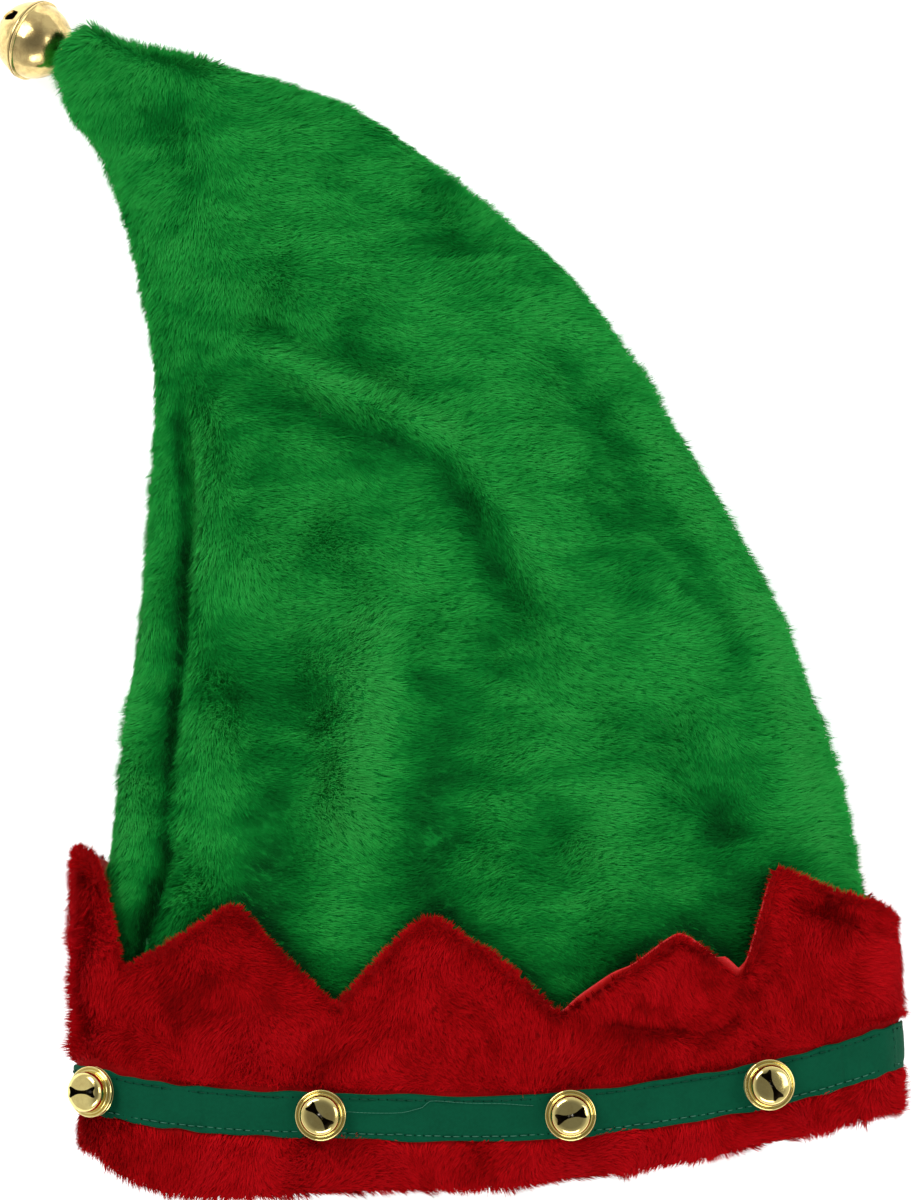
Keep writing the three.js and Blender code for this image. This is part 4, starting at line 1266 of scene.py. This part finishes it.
def slot_block(quarter, low, high):
    """A block with a dog-bone outline, given by one quarter of it, between two heights."""
    quarter = np.array(quarter, float)
    left_top = quarter[::-1] * (-1, 1)
    outline = np.concatenate((quarter, quarter[::-1] * (1, -1), -quarter, left_top))
    outline = outline[np.concatenate(([True], np.abs(np.diff(outline, axis=0)).sum(1) > 1e-6))]
    outline = outline[::-1]
    count = len(outline)
    points = [(x, y, z) for z in (low, high) for x, y in outline]
    faces = [tuple(range(count - 1, -1, -1)), tuple(range(count, 2 * count))]
    faces += [(i, (i + 1) % count, (i + 1) % count + count, i + count) for i in range(count)]
    mesh = bpy.data.meshes.new("slot_block")
    mesh.from_pydata([tuple(v * 0.001 for v in p) for p in points], [], faces)
    return in_scene("slot_block", mesh)


def cut_slot(shape, block):
    """Cuts the block out of the shape and removes it."""
    cut = shape.modifiers.new("slot", "BOOLEAN")
    cut.operation, cut.solver, cut.object = "DIFFERENCE", "EXACT", block
    applied(shape)
    bpy.data.objects.remove(block)


def smoothed(shape, degrees):
    """Smooth shading that stays sharp where faces meet at more than the angle."""
    mesh = shape.data
    mesh.polygons.foreach_set("use_smooth", np.ones(len(mesh.polygons), bool))
    mesh.set_sharp_from_angle(angle=math.radians(degrees))
    return shape


# %% Profiles of a flat bell
top = bell_height
face_profile = [
    (0, top), (2.5, top - 0.03), (4.4, top - 0.14), (5.5, top - 0.34), (6.3, top - 0.7), (6.85, top - 1.25),
    (7.15, top - 1.95), (7.3, top - 2.8), (7.38, top - 3.8), (7.4, top - 4.7), (7.5, top - 5.1),
    (7.75, top - 5.3), (8.05, top - 5.32), (8.3, top - 5.2), (8.55, top - 5.08), (8.85, top - 5.12),
    (9.1, top - 5.35), (9.24, top - 5.75), (9.2, top - 6.2), (8.98, top - 6.5), (8.6, top - 6.6),
    (7.0, top - 6.6), (6.85, top - 6.3), (6.85, top - 3.2), (6.6, top - 2.1), (5.8, top - 1.2),
    (4.3, top - 0.72), (0, top - 0.58),
]
cup_profile = [
    (0, 0), (1.4, 0.0), (1.9, 0.15), (2.0, 0.5), (2.05, 0.95), (2.5, 1.05), (4.0, 1.15), (5.4, 1.4),
    (6.6, 1.9), (7.5, 2.5), (8.3, 2.8), (8.8, 2.9), (9.1, 3.05), (8.95, 3.2), (6.9, 3.2), (6.4, 2.7),
    (5.2, 2.1), (3.8, 1.75), (2.0, 1.65), (0, 1.6),
]
slot_quarter = [
    (0, 0.62), (1.5, 0.7), (2.6, 1.0), (3.6, 1.5), (4.7, 2.0), (5.35, 1.95), (5.5, 1.5), (5.1, 0.7), (4.95, 0.0),
]
bell_slots = (0, -45, 15, -62, 20, -35, 60)


def mesh_points(mesh):
    """The points of a mesh as an array."""
    points = np.empty(len(mesh.vertices) * 3)
    mesh.vertices.foreach_get("co", points)
    return points.reshape(-1, 3)


def solids_and_axis(front_name, back_name):
    """The points of two of the frame's solids, and the direction from the back one to the front one."""
    front_solid, back_solid = (mesh_points(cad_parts[name].data) for name in (front_name, back_name))
    return front_solid, back_solid, unit(front_solid.mean(0) - back_solid.mean(0))


def paint_pellet(name):
    """Gives a pellet of the frame its steel."""
    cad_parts[name].data.materials.clear()
    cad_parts[name].data.materials.append(pellet_finish)


def set_on(shape, origin, axis, side):
    """Moves a shape so that its Z follows the axis and its X the side."""
    side = unit(side - axis * (side @ axis))
    basis = np.stack((side, np.cross(axis, side), axis), 1)
    moved = mesh_points(shape.data) @ basis.T + origin
    shape.data.vertices.foreach_set("co", moved.ravel())
    shape.data.update()


# %% Seven flat bells
def flat_bell(number, slot_degrees):
    """A bell on the ribbon, in the place of its two solids."""
    _, cup_solid, axis = solids_and_axis(f"bell_{number}_front", f"bell_{number}_back")
    foot = cup_solid.mean(0)
    foot = foot + axis * ((cup_solid @ axis).min() - foot @ axis)
    side = np.array((math.cos(math.radians(slot_degrees)), math.sin(math.radians(slot_degrees)), 0))
    face = turned_shape(f"bell_face_{number}", face_profile, 64, brass_finish, range(21, 28))
    applied(face)
    cut_slot(face, slot_block(slot_quarter, top - 4.2, top + 1))
    cup = applied(turned_shape(f"bell_cup_{number}", cup_profile, 64, brass_finish, range(14, 20)))
    for shape, solid in ((face, f"bell_{number}_front"), (cup, f"bell_{number}_back")):
        set_on(smoothed(shape, 42), foot, axis, side)
        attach(shape, "root")
        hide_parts(solid)
    paint_pellet(f"bell_{number}_pellet")
    return len(face.data.polygons) + len(cup.data.polygons)


made = [flat_bell(number, slot) for number, slot in enumerate(bell_slots, 1)]
print("flat bells", made, "faces")

# %% [markdown]
# ## The bell at the tip
#
# A round bell is two half globes crimped together at a thin bright seam, a slot across the far half,
# and a small loop that the plush is sewn to. The same turned shapes serve, with a larger slot that
# runs over the pole.

# %% Round bell
ball = tip_bell_size / 2
seam = 0.15


def half_globe(name, sign):
    """One half of the round bell, with its half of the crimped seam."""
    outer = [(ball * math.cos(a), ball * math.sin(a)) for a in np.radians(np.linspace(90, 8.5, 22))]
    crimp = [(14.05, 1.35), (14.5, 1.2), (14.8, 0.95), (14.86, 0.5), (14.7, seam)]
    inner = [(13.2 * math.cos(a), 13.2 * math.sin(a)) for a in np.radians(np.linspace(0.7, 90, 18))]
    profile = [(r if r > 1e-6 else 0.0, z * sign) for r, z in outer + crimp + inner]
    inner_rows = range(len(outer) + len(crimp), len(profile)) if sign > 0 else range(len(inner))
    ordered = profile if sign > 0 else profile[::-1]
    return applied(turned_shape(name, ordered, 96, aged_brass_finish, inner_rows))


far_solid, _, axis = solids_and_axis("tip_bell_front", "tip_bell_back")
centre = far_solid.mean(0)
centre = centre + axis * ((far_solid @ axis).min() - 0.00015 - centre @ axis)
far_half = half_globe("tip_bell_far_half", 1)
long_slot = [
    (0, 0.8), (7.5, 0.8), (9.5, 1.2), (11.0, 2.0), (12.4, 2.3), (13.4, 1.9), (13.6, 0.9), (13.6, 0.0),
]
cut_slot(far_half, slot_block(long_slot, 3.0, 20))
near_half = half_globe("tip_bell_near_half", -1)
loop = turned_shape(
    "tip_bell_loop",
    [(0, -15.2), (2.0, -15.2), (2.45, -14.9), (2.5, -14.4), (2.6, -13.9), (2.2, -13.5), (0, -13.4)],
    32,
    aged_brass_finish,
)
applied(loop)
for shape in (far_half, near_half, loop):
    set_on(smoothed(shape, 40), centre, axis, np.array((-0.2, 0.5, 0.8)))
    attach(shape, "root")
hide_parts("tip_bell_front")
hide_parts("tip_bell_back")
paint_pellet("tip_bell_pellet")
print("round bell", len(far_half.data.polygons), "faces in the far half")
